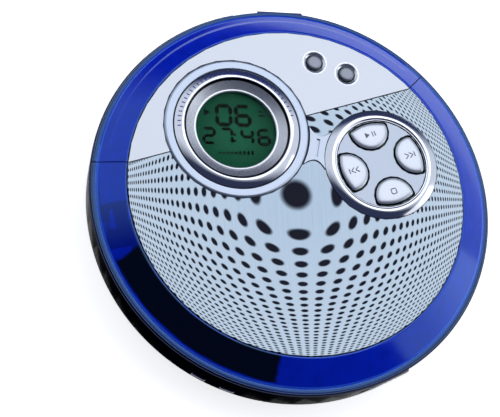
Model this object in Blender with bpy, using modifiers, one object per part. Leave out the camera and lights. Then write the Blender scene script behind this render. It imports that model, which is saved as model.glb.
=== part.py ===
"""Portable disc player: a round base with its disc mechanism and a hinged translucent lid.

Metres, +Z up, origin under the middle of the base. The lid's hinge is at +Y, parallel to X.
The console on the lid is turned about Z from the hinge by STYLE_TURN, as on the real lid.
"""

import math

import bmesh
import bpy
from mathutils import Matrix, Vector

# Fits
CLEAR = 0.0003
OVERRUN = 0.0020
WELD_DISTANCE = 0.000001
SHARP_SHARE = 0.19

# Base casing
CASE_RIM_R = 0.0690
CASE_DRAFT = 0.0013
CASE_FOOT_R = CASE_RIM_R - CASE_DRAFT
CASE_FOOT_CURVE = 0.0097
CASE_FLAT_R = CASE_FOOT_R - CASE_FOOT_CURVE
CASE_UNDERSIDE_Z = 0.0008
CASE_CURVE_TOP_Z = 0.0060
CASE_RIM_Z = 0.0194
CASE_WALL = 0.0018
CASE_FLOOR = 0.0016
CASE_RIM_WALL = 0.0017
STYLE_TURN = math.radians(17.3)

# Deck with the disc well
DECK_FLANGE = 0.0014
DECK_FLOOR = 0.0012
WELL_MARGIN = 0.0077
WELL_R = CASE_RIM_R - WELL_MARGIN
WELL_DEPTH = 0.0012
WELL_WALL = 0.0014
DECK_OPENING_R = 0.0165
LENS_SLOT_HALF = 0.0095
LENS_SLOT_MARGIN = 0.0009
LENS_SLOT_END = WELL_R - LENS_SLOT_MARGIN

# Rubber feet and case screws
FOOT_R = 0.0042
FOOT_SEAT = 0.0004
FOOT_X = 0.0420
FOOT_REAR_Y = 0.0300
FOOT_FRONT_Y = 0.0380
SCREW_HEAD_R = 0.0026
SCREW_HEAD_H = 0.0012
SCREW_SHANK_R = 0.0012
BOSS_WALL = 0.0016
BOSS_TOP_Z = 0.0098
SCREW_REAR_X = 0.0510
SCREW_REAR_Y = 0.0100
SCREW_FRONT_X = 0.0460
SCREW_FRONT_Y = 0.0300

# Battery bay for two AA cells
CELL_D = 0.0145
CELL_L = 0.0505
BAY_HALF_X = 0.0280
BAY_FRONT_Y = 0.0185
BAY_DEPTH_Y = 0.0327
BAY_WALL = 0.0012
DOOR_T = 0.0012
DOOR_PIN_R = 0.0006
DOOR_KNUCKLE_R = 0.0010
DOOR_PIN_LENGTH = 0.0010
CONTACT_T = 0.0004
CONTACT_W = 0.0090
CONTACT_H = 0.0100

# Lid hinge
HINGE_INSET = 0.0030
HINGE_Y = CASE_RIM_R - HINGE_INSET
HINGE_DROP = 0.0022
HINGE_PIN_R = 0.00075
KNUCKLE_R = 0.0017
TONGUE_HALF_X = 0.0079
TONGUE_FRONT_SHARE = 0.67
LUG_W = 0.0035
NOTCH_HALF_X = 0.0165
NOTCH_DEPTH = 0.0056
HINGE_BLOCK_H = 0.0036
HINGE_BLOCK_D = 0.0046

# Lid: ring, liner and plates
LID_GAP = 0.0005
LID_INSET = 0.0006
LID_R = CASE_RIM_R - LID_INSET
LIP_H = 0.0007
LID_FLANGE_W = 0.0016
CREST_R = LID_R - LID_FLANGE_W
CREST_RISE = 0.0003
RING_BULGE = 0.0004
RING_SPAN = 0.0094
PLATE_R = CREST_R - RING_SPAN
PLATE_TOP_Z = 0.02686
PLATE_T = 0.0011
RING_WALL = 0.0016
CHORD_Y = 0.0243
CHORD_END_INSET = 0.0058
CHORD_HALF_X = PLATE_R - CHORD_END_INSET
SEAM_RISE_SHARE = 0.575
SEAM_GAP = 0.0004
LINER_Z = 0.0225
LINER_T = 0.0010
SKIRT_INSET = 0.0042
LINER_SKIRT_R = CREST_R - SKIRT_INSET
SKIRT_T = 0.0012
LINER_WALL_INSET = 0.0012
LINER_WALL_R = PLATE_R - LINER_WALL_INSET
LINER_WALL_T = 0.0012
LID_BOSS_R = 0.0022
LID_SCREW_R = 0.0009

# Display on the lid
DISPLAY_X = -0.0124
DISPLAY_Y = 0.0262
BEZEL_R = 0.0248
BEZEL_RISE = 0.0007
MIRROR_R = 0.0214
MIRROR_INNER_R = 0.0181
MIRROR_RISE = 0.0010
CONE_R = 0.0176
CONE_INNER_R = 0.0138
CONE_DROP = 0.0010
WINDOW_T = 0.0006
PANEL_HALF = 0.0142
PANEL_T = 0.0008

# Key pad on the lid
PAD_X = 0.0313
PAD_Y = 0.0009
PAD_R = 0.0196
PAD_CREST_R = 0.0172
PAD_INNER_R = 0.0158
PAD_RISE = 0.0012
WEB_T = 0.0012
LEAF_R = 0.0151
LEAF_INNER_R = 0.0071
LEAF_CENTRE = 0.01235
LEAF_ROUND = 0.0012
KEY_TRAVEL = 0.0005
KEY_CAP_T = 0.0018
KEY_STEM_R = 0.0020
KEY_CROWN = 0.0004

# Console bridge between display and pad
BRIDGE_END_HALF = 0.0068
BRIDGE_WAIST_HALF = 0.0044
BRIDGE_RISE = 0.0005
BRIDGE_SLOT_W = 0.0012
BRIDGE_SLOT_L = 0.0067
BRIDGE_SLOT_DEPTH = 0.0006

# Mode and program keys
SMALL_KEY_R = 0.0025
SMALL_HOLE_R = 0.0031
SMALL_DISH_R = 0.0042
SMALL_KEY_RISE = 0.0003
MODE_X = 0.0227
MODE_Y = 0.0421
PROGRAM_X = 0.0322
PROGRAM_Y = 0.0352

# Key board in the lid
KEY_BOARD_T = 0.0008
KEY_BOARD_R = 0.0185
DOME_R = 0.0022
DOME_H = 0.0006

# Disc drive: spindle and turntable
DISC_SEAT_Z = 0.0192
TURNTABLE_R = 0.0150
TURNTABLE_SEAT_W = 0.0028
TURNTABLE_T = 0.0010
TURNTABLE_SEAT_H = 0.0018
HUB_R = 0.0073
HUB_H = 0.0020
BALL_R = 0.0010
BALL_SINK = 0.0005
BALL_LIFT = 0.0008
HUB_CHAMFER = 0.0007
SHAFT_R = 0.0008
MOTOR_R = 0.0090

# Mechanism chassis on its dampers
CHASSIS_Z = 0.0096
CHASSIS_T = 0.0012
CHASSIS_HALF_X = 0.0290
CHASSIS_REAR_Y = 0.0150
CHASSIS_SHOULDER_Y = 0.0500
CHASSIS_NOSE_Y = 0.0628
CHASSIS_NOSE_HALF = 0.0150
LUG_T = 0.0014
DAMPER_X = 0.0245
DAMPER_REAR_Y = 0.0090
DAMPER_FRONT_Y = 0.0460
DAMPER_R = 0.0038
DAMPER_WAIST_R = 0.0024
DAMPER_FLANGE = 0.0012
POST_PIN_R = 0.0012

# Pickup sled
SLED_HALF_X = 0.0146
SLED_FRONT = 0.0040
SLED_REAR = 0.0120
SLED_H = 0.0040
SLED_LIFT = 0.0006
LENS_REST_R = 0.0235
SLED_TRAVEL = 0.0335
ROD_R = 0.0010
ROD_X = 0.0120
ROD_LIFT = 0.0018
LENS_HOLDER_HALF = 0.0043
LENS_HOLDER_H = 0.0030
LENS_R = 0.0022
LENS_H = 0.0020
FOCUS_TRAVEL = 0.0004
MAGNET_T = 0.0014

# Sled drive: rack, double gear and motor pinion
RACK_MODULE = 0.0006
WHEEL_MODULE = 0.0005
DRIVE_TEETH = 12
WHEEL_TEETH = 24
PINION_TEETH = 10
BACKLASH = 0.00022
PRESSURE_ANGLE = math.radians(25.0)
ADDENDUM_SHARE = 0.80
DEDENDUM_SHARE = 1.15
GEAR_T = 0.0018
WHEEL_T = 0.0012
RACK_BODY_W = 0.0023
RACK_MARGIN = 0.0030
GEAR_AXLE_R = 0.0007
SLED_MOTOR_R = 0.0060
SLED_MOTOR_H = 0.0058
SLED_MOTOR_ANGLE = math.radians(-60.0)

# Boards and chips
BOARD_Z = 0.0042
BOARD_T = 0.0012
BOARD_MARGIN = 0.0077
BOARD_R = CASE_FOOT_R - BOARD_MARGIN
STANDOFF_R = 0.0020
STANDOFF_REACH = 0.0360
CHIP_HALF = 0.0060
CHIP_H = 0.0014
CHIP_X = -0.0380
CHIP_Y = -0.0120
MEMORY_HALF_X = 0.0040
MEMORY_HALF_Y = 0.0080
MEMORY_X = -0.0430
MEMORY_Y = 0.0080

# Sockets and keys on the wall
JACK_LIFT = 0.0003
JACK_BODY_W = 0.0080
JACK_BODY_H = 0.0060
JACK_BODY_D = 0.0090
JACK_NOSE_R = 0.0029
JACK_BORE_R = 0.0018
DC_NOSE_R = 0.0030
DC_BORE_R = 0.0020
DC_PIN_R = 0.0006
WALL_KEY_W = 0.0050
WALL_KEY_H = 0.0018
WALL_KEY_PROUD = 0.0005
WALL_KEY_REACH = 0.0038
WALL_KEY_Z = 0.0092
WALL_KEY_TRAVEL = 0.0005
SLIDER_W = 0.0070
SLIDER_H = 0.0024
SLIDER_PROUD = 0.0006
SLIDER_TRAVEL = 0.0030
OPENER_W = 0.0150
OPENER_H = 0.0028
OPENER_TRAVEL = 0.0035
OPENER_Z = 0.0130
SLIDER_FOOT_T = 0.0008
SLIDER_FOOT_EXTRA = 0.0010
PHONES_ANGLE = math.radians(24.0)
LINE_OUT_ANGLE = math.radians(36.0)
DC_ANGLE = math.radians(146.0)
HOLD_ANGLE = math.radians(-8.0)
BASS_ANGLE = math.radians(7.0)
VOLUME_DOWN_ANGLE = math.radians(-119.3)
VOLUME_UP_ANGLE = math.radians(-110.7)
OPENER_ANGLE = math.radians(-65.0)

# Lid catch
CATCH_W = 0.0050
CATCH_T = 0.0010
CATCH_NOSE = 0.0009
CATCH_NOSE_H = 0.0008
CATCH_DROP = 0.0033

# Faceting
ROUND_STEPS = 48
RING_STEPS = 28
SMALL_STEPS = 12
FINE_STEPS = 8

# Places worked out from the sizes above
FLOOR_TOP_Z = CASE_UNDERSIDE_Z + CASE_FLOOR
WELL_FLOOR_Z = CASE_RIM_Z - WELL_DEPTH
DECK_UNDER_Z = WELL_FLOOR_Z - DECK_FLOOR
FLANGE_UNDER_Z = CASE_RIM_Z - DECK_FLANGE
LEDGE_Z = FLANGE_UNDER_Z - CLEAR
RIM_INNER_R = CASE_RIM_R - CASE_RIM_WALL
WALL_INNER_R = CASE_FOOT_R - CASE_WALL
HINGE_Z = CASE_RIM_Z - HINGE_DROP
LID_EDGE_Z = CASE_RIM_Z + LID_GAP
LIP_Z = LID_EDGE_Z + LIP_H
CREST_Z = LIP_Z + CREST_RISE
RING_INNER_R = PLATE_R + CLEAR
PLATE_UNDER_Z = PLATE_TOP_Z - PLATE_T
LINER_TOP_Z = LINER_Z + LINER_T
RING_SLOPE = (PLATE_TOP_Z - CREST_Z) / (CREST_R - RING_INNER_R)
RING_SECANT = math.sqrt(1 + RING_SLOPE * RING_SLOPE)
CHASSIS_TOP_Z = CHASSIS_Z + CHASSIS_T
ROD_Z = CHASSIS_TOP_Z + SLED_LIFT + ROD_LIFT
SLED_Z = CHASSIS_TOP_Z + SLED_LIFT
SLED_TOP_Z = SLED_Z + SLED_H
KEY_BOARD_Z = LINER_TOP_Z + CLEAR
KEY_STEM_Z = KEY_BOARD_Z + KEY_BOARD_T + DOME_H + KEY_TRAVEL + CLEAR
BAY_REAR_Y = BAY_FRONT_Y + BAY_DEPTH_Y
PITCH_R_DRIVE = RACK_MODULE * DRIVE_TEETH / 2
PITCH_R_WHEEL = WHEEL_MODULE * WHEEL_TEETH / 2
PITCH_R_PINION = WHEEL_MODULE * PINION_TEETH / 2


# Scene and object helpers

def clear_scene():
    """Remove every object, so that the script can run twice."""
    for obj in list(bpy.data.objects):
        bpy.data.objects.remove(obj, do_unlink=True)
    for group in list(bpy.data.collections):
        bpy.data.collections.remove(group)


def new_collection(name):
    group = bpy.data.collections.new(name)
    bpy.context.scene.collection.children.link(group)
    return group


def paint(obj, colour, roughness, metallic=0.0, alpha=1.0):
    """Give the object its own Principled material."""
    look = bpy.data.materials.new(obj.name + "_finish")
    look.use_nodes = True
    shader = look.node_tree.nodes["Principled BSDF"]
    shader.inputs["Base Color"].default_value = (*colour, 1.0)
    shader.inputs["Roughness"].default_value = roughness
    shader.inputs["Metallic"].default_value = metallic
    shader.inputs["Alpha"].default_value = alpha
    obj.data.materials.clear()
    obj.data.materials.append(look)


def add_object(name, mesh):
    obj = bpy.data.objects.new(name, mesh)
    PARTS.objects.link(obj)
    return obj


def as_cutter(obj):
    """Move an object to the cutters and show it as wire only."""
    PARTS.objects.unlink(obj)
    CUTTERS.objects.link(obj)
    obj.hide_render = True
    obj.display_type = "WIRE"
    return obj


def bake(obj):
    """Replace the object's mesh by its evaluated mesh, keeping it in place."""
    bpy.context.view_layer.update()
    graph = bpy.context.evaluated_depsgraph_get()
    mesh = bpy.data.meshes.new_from_object(obj.evaluated_get(graph))
    old = obj.data
    obj.modifiers.clear()
    obj.data = mesh
    mesh.name = obj.name
    if old.users == 0:
        bpy.data.meshes.remove(old)
    return obj


def boolean(obj, other, operation):
    """Cut, join or intersect the object with another at once."""
    step = obj.modifiers.new(operation.lower(), "BOOLEAN")
    step.operation = operation
    step.solver = "EXACT"
    step.object = other
    bake(obj)
    if other.name in PARTS.objects:
        as_cutter(other)


def cut(obj, *others):
    for other in others:
        boolean(obj, other, "DIFFERENCE")


def join(obj, *others):
    for other in others:
        boolean(obj, other, "UNION")


def keep_inside(obj, other):
    boolean(obj, other, "INTERSECT")


def bevel_edges(obj, width, segments=1, angle=0.6):
    step = obj.modifiers.new("bevel", "BEVEL")
    step.width = width
    step.segments = segments
    step.limit_method = "ANGLE"
    step.angle_limit = angle
    return bake(obj)


def smooth(obj):
    obj.data.shade_smooth()
    obj.data.set_sharp_from_angle(angle=SHARP_SHARE * math.pi)


# Shape makers

def box(name, low, high):
    """A block from its low corner to its high corner."""
    mesh = bpy.data.meshes.new(name)
    shape = bmesh.new()
    size = [b - a for a, b in zip(low, high)]
    middle = [(a + b) / 2 for a, b in zip(low, high)]
    bmesh.ops.create_cube(shape, size=1.0, matrix=Matrix.Translation(middle) @ Matrix.Diagonal((*size, 1.0)))
    shape.to_mesh(mesh)
    shape.free()
    return add_object(name, mesh)


def cylinder(name, radius, low, high, centre=(0, 0), steps=SMALL_STEPS, top_radius=None):
    """An upright cylinder or cone between two heights."""
    mesh = bpy.data.meshes.new(name)
    shape = bmesh.new()
    upper = radius if top_radius is None else top_radius
    middle = Matrix.Translation((centre[0], centre[1], (low + high) / 2))
    bmesh.ops.create_cone(
        shape, cap_ends=True, segments=steps, radius1=radius, radius2=upper, depth=high - low, matrix=middle
    )
    shape.to_mesh(mesh)
    shape.free()
    return add_object(name, mesh)


def rod(name, radius, start, end, steps=SMALL_STEPS):
    """A cylinder between two points."""
    start = Vector(start)
    end = Vector(end)
    along = end - start
    turn = along.to_track_quat("Z", "Y").to_matrix().to_4x4()
    mesh = bpy.data.meshes.new(name)
    shape = bmesh.new()
    bmesh.ops.create_cone(
        shape, cap_ends=True, segments=steps, radius1=radius, radius2=radius, depth=along.length,
        matrix=Matrix.Translation((start + end) / 2) @ turn
    )
    shape.to_mesh(mesh)
    shape.free()
    return add_object(name, mesh)


def turned(name, profile, steps=ROUND_STEPS, centre=(0, 0), closed=False):
    """A profile of (radius, height) points spun about an upright axis."""
    mesh = bpy.data.meshes.new(name)
    count = len(profile)
    edges = [(i, i + 1) for i in range(count - 1)]
    if closed:
        edges.append((count - 1, 0))
    mesh.from_pydata([(radius, 0, height) for radius, height in profile], edges, [])
    obj = add_object(name, mesh)
    obj.location = (centre[0], centre[1], 0)
    spin = obj.modifiers.new("spin", "SCREW")
    spin.axis = "Z"
    spin.angle = 2 * math.pi
    spin.screw_offset = 0
    spin.steps = steps
    spin.render_steps = steps
    spin.use_merge_vertices = True
    spin.merge_threshold = WELD_DISTANCE
    bake(obj)
    obj.data.transform(Matrix.Translation(obj.location))
    obj.location = (0, 0, 0)
    return obj


def outline(name, loops, low, high):
    """A flat 2D curve of closed loops, inner loops as holes, extruded between two heights."""
    curve = bpy.data.curves.new(name, "CURVE")
    curve.dimensions = "2D"
    curve.fill_mode = "BOTH"
    curve.extrude = (high - low) / 2
    for loop in loops:
        spline = curve.splines.new("POLY")
        spline.points.add(len(loop) - 1)
        for point, (x, y) in zip(spline.points, loop):
            point.co = (x, y, 0, 1)
        spline.use_cyclic_u = True
    guide = bpy.data.objects.new(name + "_curve", curve)
    guide.location = (0, 0, (low + high) / 2)
    PARTS.objects.link(guide)
    bpy.context.view_layer.update()
    graph = bpy.context.evaluated_depsgraph_get()
    mesh = bpy.data.meshes.new_from_object(guide.evaluated_get(graph))
    mesh.transform(guide.matrix_world)
    bpy.data.objects.remove(guide, do_unlink=True)
    shape = bmesh.new()
    shape.from_mesh(mesh)
    bmesh.ops.remove_doubles(shape, verts=shape.verts, dist=WELD_DISTANCE)
    bmesh.ops.recalc_face_normals(shape, faces=shape.faces)
    shape.to_mesh(mesh)
    shape.free()
    mesh.name = name
    return add_object(name, mesh)


def side_outline(name, loop, low_x, high_x):
    """An outline of (y, z) points extruded along X between two places."""
    obj = outline(name, [loop], low_x, high_x)
    along = Matrix(((0, 0, 1, 0), (1, 0, 0, 0), (0, 1, 0, 0), (0, 0, 0, 1)))
    obj.data.transform(along)
    return obj


def circle(radius, steps=RING_STEPS, centre=(0, 0)):
    """Points round a circle."""
    turns = [2 * math.pi * i / steps for i in range(steps)]
    return [(centre[0] + radius * math.cos(t), centre[1] + radius * math.sin(t)) for t in turns]


def arc(centre, radius, start, end, steps):
    """Points along an arc, ends included."""
    turns = [start + (end - start) * i / steps for i in range(steps + 1)]
    return [(centre[0] + radius * math.cos(t), centre[1] + radius * math.sin(t)) for t in turns]


def styled(x, y):
    """A place in the console's own turned frame, given in the player's frame."""
    cosine = math.cos(STYLE_TURN)
    sine = math.sin(STYLE_TURN)
    return (x * cosine - y * sine, x * sine + y * cosine)


def turn_by_style(obj):
    obj.data.transform(Matrix.Rotation(STYLE_TURN, 4, "Z"))
    return obj


def to_wall(obj, angle):
    """Turn an object that was made facing +Y so that it faces out at the given angle."""
    obj.data.transform(Matrix.Rotation(angle - math.pi / 2, 4, "Z"))
    return obj


def wall_outer_r(height):
    """Radius of the casing's tapered outer wall at a height."""
    share = (height - CASE_CURVE_TOP_Z) / (CASE_RIM_Z - CASE_CURVE_TOP_Z)
    return CASE_FOOT_R + (CASE_RIM_R - CASE_FOOT_R) * share


def ring_top_z(radius):
    """Height of the lid ring's straight slope at a radius."""
    return PLATE_TOP_Z - RING_SLOPE * (radius - RING_INNER_R)


def gear_outline(teeth, module, centre, tooth_angle):
    """Involute teeth with one tooth centred on tooth_angle; each flank is one step."""
    pitch_r = module * teeth / 2
    base_r = pitch_r * math.cos(PRESSURE_ANGLE)
    radii = [pitch_r - DEDENDUM_SHARE * module, pitch_r + ADDENDUM_SHARE * module]
    thickness = (math.pi * module - BACKLASH) / 2
    spread = math.tan(PRESSURE_ANGLE) - PRESSURE_ANGLE
    flank = []
    for radius in radii:
        slant = math.acos(min(1.0, base_r / max(radius, base_r)))
        flank.append((radius, thickness / (2 * pitch_r) + spread - (math.tan(slant) - slant)))
    points = []
    for tooth in range(teeth):
        middle = tooth_angle + 2 * math.pi * tooth / teeth
        for radius, half in flank:
            points.append((radius, middle - half))
        for radius, half in reversed(flank):
            points.append((radius, middle + half))
    return [(centre[0] + r * math.cos(t), centre[1] + r * math.sin(t)) for r, t in points]


# Base casing: moulded cup, deck, feet, door

def hinge_cut(name, half_x, front_y, low):
    """The space behind front_y that the lid's tongue and edge swing through."""
    top = CASE_RIM_Z + OVERRUN
    return box(name, (-half_x, front_y, low), (half_x, CASE_RIM_R + OVERRUN, top))


def screw_places():
    return [
        (-SCREW_REAR_X, SCREW_REAR_Y), (SCREW_REAR_X, SCREW_REAR_Y),
        (-SCREW_FRONT_X, -SCREW_FRONT_Y), (SCREW_FRONT_X, -SCREW_FRONT_Y)
    ]


def damper_places():
    return [
        (-DAMPER_X, DAMPER_REAR_Y), (DAMPER_X, DAMPER_REAR_Y),
        (-DAMPER_X, -DAMPER_FRONT_Y), (DAMPER_X, -DAMPER_FRONT_Y)
    ]


def foot_places():
    return [
        (-FOOT_X, FOOT_REAR_Y), (FOOT_X, FOOT_REAR_Y),
        (-FOOT_X, -FOOT_FRONT_Y), (FOOT_X, -FOOT_FRONT_Y)
    ]


def standoff_places():
    turns = [math.radians(a) for a in (180, -115, -28)]
    return [(STANDOFF_REACH * math.cos(t), STANDOFF_REACH * math.sin(t)) for t in turns]


def wall_slot(name, angle, width, height, middle_z):
    """A rectangular cutter through the wall at an angle."""
    low = (-width / 2, WALL_INNER_R - OVERRUN, middle_z - height / 2)
    high = (width / 2, CASE_RIM_R + OVERRUN, middle_z + height / 2)
    return to_wall(box(name, low, high), angle)


def jack_z():
    """Height of the sockets' bores over the board."""
    return BOARD_Z + BOARD_T + JACK_LIFT + JACK_BODY_H / 2


def make_bottom_case():
    """Turned cup with a curved underside edge, a ledge for the deck and a hinge block."""
    inner_curve_x = WALL_INNER_R - (CASE_FLAT_R - CASE_FLOOR)
    inner_curve_z = CASE_CURVE_TOP_Z + CASE_FLOOR - FLOOR_TOP_Z
    profile = [(0, FLOOR_TOP_Z)]
    for i in range(4):
        t = math.pi / 2 * i / 3
        profile.append((
            WALL_INNER_R - inner_curve_x * (1 - math.sin(t)),
            FLOOR_TOP_Z + inner_curve_z * (1 - math.cos(t))
        ))
    profile += [(WALL_INNER_R, LEDGE_Z), (RIM_INNER_R, LEDGE_Z), (RIM_INNER_R, CASE_RIM_Z)]
    profile += [(CASE_RIM_R, CASE_RIM_Z)]
    for i in range(5):
        t = math.pi / 2 * i / 4
        profile.append((
            CASE_FLAT_R + (CASE_FOOT_R - CASE_FLAT_R) * math.cos(t),
            CASE_CURVE_TOP_Z - (CASE_CURVE_TOP_Z - CASE_UNDERSIDE_Z) * math.sin(t)
        ))
    profile.append((0, CASE_UNDERSIDE_Z))
    case = turned("bottom_case", profile)

    cut(case, hinge_cut("hinge_notch", NOTCH_HALF_X, HINGE_Y - HINGE_BLOCK_D / 2, CASE_RIM_Z - NOTCH_DEPTH))
    block_front = HINGE_Y - HINGE_BLOCK_D / 2 - BOSS_WALL / 2
    block_top = HINGE_Z - KNUCKLE_R / 2
    block_low = (-NOTCH_HALF_X + CLEAR, block_front, block_top - HINGE_BLOCK_H)
    block_high = (NOTCH_HALF_X - CLEAR, HINGE_Y + KNUCKLE_R - CLEAR, block_top)
    join(case, box("hinge_block", block_low, block_high))
    half_slot = TONGUE_HALF_X + CLEAR
    eye = arc((HINGE_Y, HINGE_Z), KNUCKLE_R, 0, math.pi, SMALL_STEPS // 2)
    foot_z = block_top - HINGE_BLOCK_H / 2
    eye += [(HINGE_Y - KNUCKLE_R, foot_z), (HINGE_Y + KNUCKLE_R, foot_z)]
    join(case, side_outline("hinge_lugs", eye, -half_slot - LUG_W, half_slot + LUG_W))
    slot_low = (-half_slot, HINGE_Y - KNUCKLE_R - CLEAR, HINGE_Z - KNUCKLE_R - CLEAR)
    cut(case, box("tongue_slot", slot_low, (half_slot, CASE_RIM_R + OVERRUN, CASE_RIM_Z)))
    reach = TONGUE_HALF_X + CLEAR + LUG_W + OVERRUN
    cut(case, rod("pin_hole", HINGE_PIN_R + CLEAR, (-reach, HINGE_Y, HINGE_Z), (reach, HINGE_Y, HINGE_Z), FINE_STEPS))

    bay_low = (-BAY_HALF_X - BAY_WALL, BAY_FRONT_Y - BAY_WALL, FLOOR_TOP_Z - CASE_FLOOR / 2)
    bay = box("bay_walls", bay_low, (BAY_HALF_X + BAY_WALL, BAY_REAR_Y + BAY_WALL, DECK_UNDER_Z - CLEAR))
    join(case, bay)
    cut(case, box(
        "bay_space", (-BAY_HALF_X, BAY_FRONT_Y, -OVERRUN), (BAY_HALF_X, BAY_REAR_Y, CASE_RIM_Z)
    ))
    pin_reach = BAY_HALF_X + DOOR_PIN_LENGTH
    cut(case, rod(
        "door_pin_holes", DOOR_PIN_R + CLEAR, (-pin_reach, door_axis_y(), door_axis_z()),
        (pin_reach, door_axis_y(), door_axis_z()), FINE_STEPS
    ))

    for i, place in enumerate(screw_places()):
        boss_r = SCREW_SHANK_R + CLEAR + BOSS_WALL
        join(case, cylinder("boss_%d" % i, boss_r, CASE_UNDERSIDE_Z + CASE_FLOOR / 2, BOSS_TOP_Z, place))
        cut(case, cylinder(
            "shank_hole_%d" % i, SCREW_SHANK_R + CLEAR, -OVERRUN, CASE_RIM_Z, place, FINE_STEPS
        ))
        cut(case, cylinder(
            "head_recess_%d" % i, SCREW_HEAD_R + CLEAR, -OVERRUN, CASE_UNDERSIDE_Z + SCREW_HEAD_H + CLEAR, place
        ))
    for i, place in enumerate(damper_places()):
        shoulder_z = CHASSIS_Z - CLEAR - DAMPER_FLANGE - CLEAR
        top_z = CHASSIS_TOP_Z + CLEAR + DAMPER_FLANGE + CLEAR
        post = cylinder("post_%d" % i, DAMPER_WAIST_R, CASE_UNDERSIDE_Z + CASE_FLOOR / 2, shoulder_z, place, FINE_STEPS)
        join(post, cylinder("post_pin_%d" % i, POST_PIN_R, shoulder_z - CLEAR, top_z, place, FINE_STEPS))
        join(case, post)
    for i, place in enumerate(standoff_places()):
        join(case, cylinder(
            "standoff_%d" % i, STANDOFF_R, CASE_UNDERSIDE_Z + CASE_FLOOR / 2, BOARD_Z - CLEAR, place, FINE_STEPS
        ))
    for i, place in enumerate(foot_places()):
        cut(case, cylinder(
            "foot_seat_%d" % i, FOOT_R + CLEAR, -OVERRUN, CASE_UNDERSIDE_Z + FOOT_SEAT + CLEAR, place
        ))

    for name, angle in (("phones", PHONES_ANGLE), ("line_out", LINE_OUT_ANGLE), ("dc", DC_ANGLE)):
        nose = DC_NOSE_R if name == "dc" else JACK_NOSE_R
        hole = rod(
            name + "_hole", nose + CLEAR, (0, WALL_INNER_R - OVERRUN, jack_z()),
            (0, CASE_RIM_R + OVERRUN, jack_z()), SMALL_STEPS
        )
        cut(case, to_wall(hole, angle))
    for name, angle in wall_keys():
        cut(case, wall_slot(name + "_slot", angle, WALL_KEY_W + 2 * CLEAR, WALL_KEY_H + 2 * CLEAR, WALL_KEY_Z))
    hold_width = SLIDER_W + SLIDER_TRAVEL + 2 * CLEAR
    cut(case, wall_slot("hold_slot", HOLD_ANGLE, hold_width, SLIDER_H + 2 * CLEAR, WALL_KEY_Z))
    opener_width = OPENER_W + OPENER_TRAVEL + 2 * CLEAR
    cut(case, wall_slot("opener_slot", OPENER_ANGLE, opener_width, OPENER_H + 2 * CLEAR, OPENER_Z))
    paint(case, (0.010, 0.012, 0.030), 0.18)
    smooth(case)


def make_deck():
    """Deck plate with the shallow disc well, the spindle and lens opening and screw posts."""
    flange_r = RIM_INNER_R - CLEAR
    profile = [
        (0, WELL_FLOOR_Z), (WELL_R, WELL_FLOOR_Z), (WELL_R, CASE_RIM_Z), (flange_r, CASE_RIM_Z),
        (flange_r, FLANGE_UNDER_Z), (WELL_R + WELL_WALL, FLANGE_UNDER_Z),
        (WELL_R + WELL_WALL, DECK_UNDER_Z), (0, DECK_UNDER_Z)
    ]
    deck = turned("deck", profile)
    low = DECK_UNDER_Z - OVERRUN
    high = CASE_RIM_Z + OVERRUN
    half = LENS_SLOT_HALF
    mouth = math.asin(half / DECK_OPENING_R)
    end_centre = (0, half - LENS_SLOT_END)
    hole = arc((0, 0), DECK_OPENING_R, -math.pi / 2 + mouth, 3 * math.pi / 2 - mouth, RING_STEPS * 2 // 3)
    hole += arc(end_centre, half, -math.pi, 0, SMALL_STEPS // 2)
    cut(deck, outline("deck_opening", [hole], low, high))
    notch_y = HINGE_Y - HINGE_BLOCK_D / 2 - BOSS_WALL / 2 - CLEAR
    cut(deck, hinge_cut("deck_notch", NOTCH_HALF_X + CLEAR, notch_y, DECK_UNDER_Z - OVERRUN))
    slot_low = (-CATCH_W / 2 - CLEAR * 2, catch_r() - CLEAR * 2, low)
    slot_high = (CATCH_W / 2 + CLEAR * 2, catch_r() + CATCH_T + CATCH_NOSE + CLEAR * 2, high)
    cut(deck, to_wall(box("catch_slot", slot_low, slot_high), OPENER_ANGLE))
    for i, place in enumerate(screw_places()):
        post_r = SCREW_SHANK_R + CLEAR + BOSS_WALL
        post_top = DECK_UNDER_Z + DECK_FLOOR / 2
        join(deck, cylinder("deck_post_%d" % i, post_r, BOSS_TOP_Z + CLEAR, post_top, place))
        cut(deck, cylinder(
            "deck_post_bore_%d" % i, SCREW_SHANK_R + CLEAR, BOSS_TOP_Z - OVERRUN,
            DECK_UNDER_Z - CLEAR, place, FINE_STEPS
        ))
    paint(deck, (0.030, 0.032, 0.040), 0.45)
    smooth(deck)


def make_feet():
    """Four rubber feet in shallow seats; the player rests on them."""
    for i, place in enumerate(foot_places()):
        foot = cylinder("rubber_foot_%d" % (i + 1), FOOT_R, 0, CASE_UNDERSIDE_Z + FOOT_SEAT, place)
        paint(foot, (0.02, 0.02, 0.02), 0.8)
        smooth(foot)


def door_axis_y():
    return BAY_FRONT_Y + DOOR_KNUCKLE_R + CLEAR


def door_axis_z():
    return CASE_UNDERSIDE_Z + DOOR_T


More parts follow.
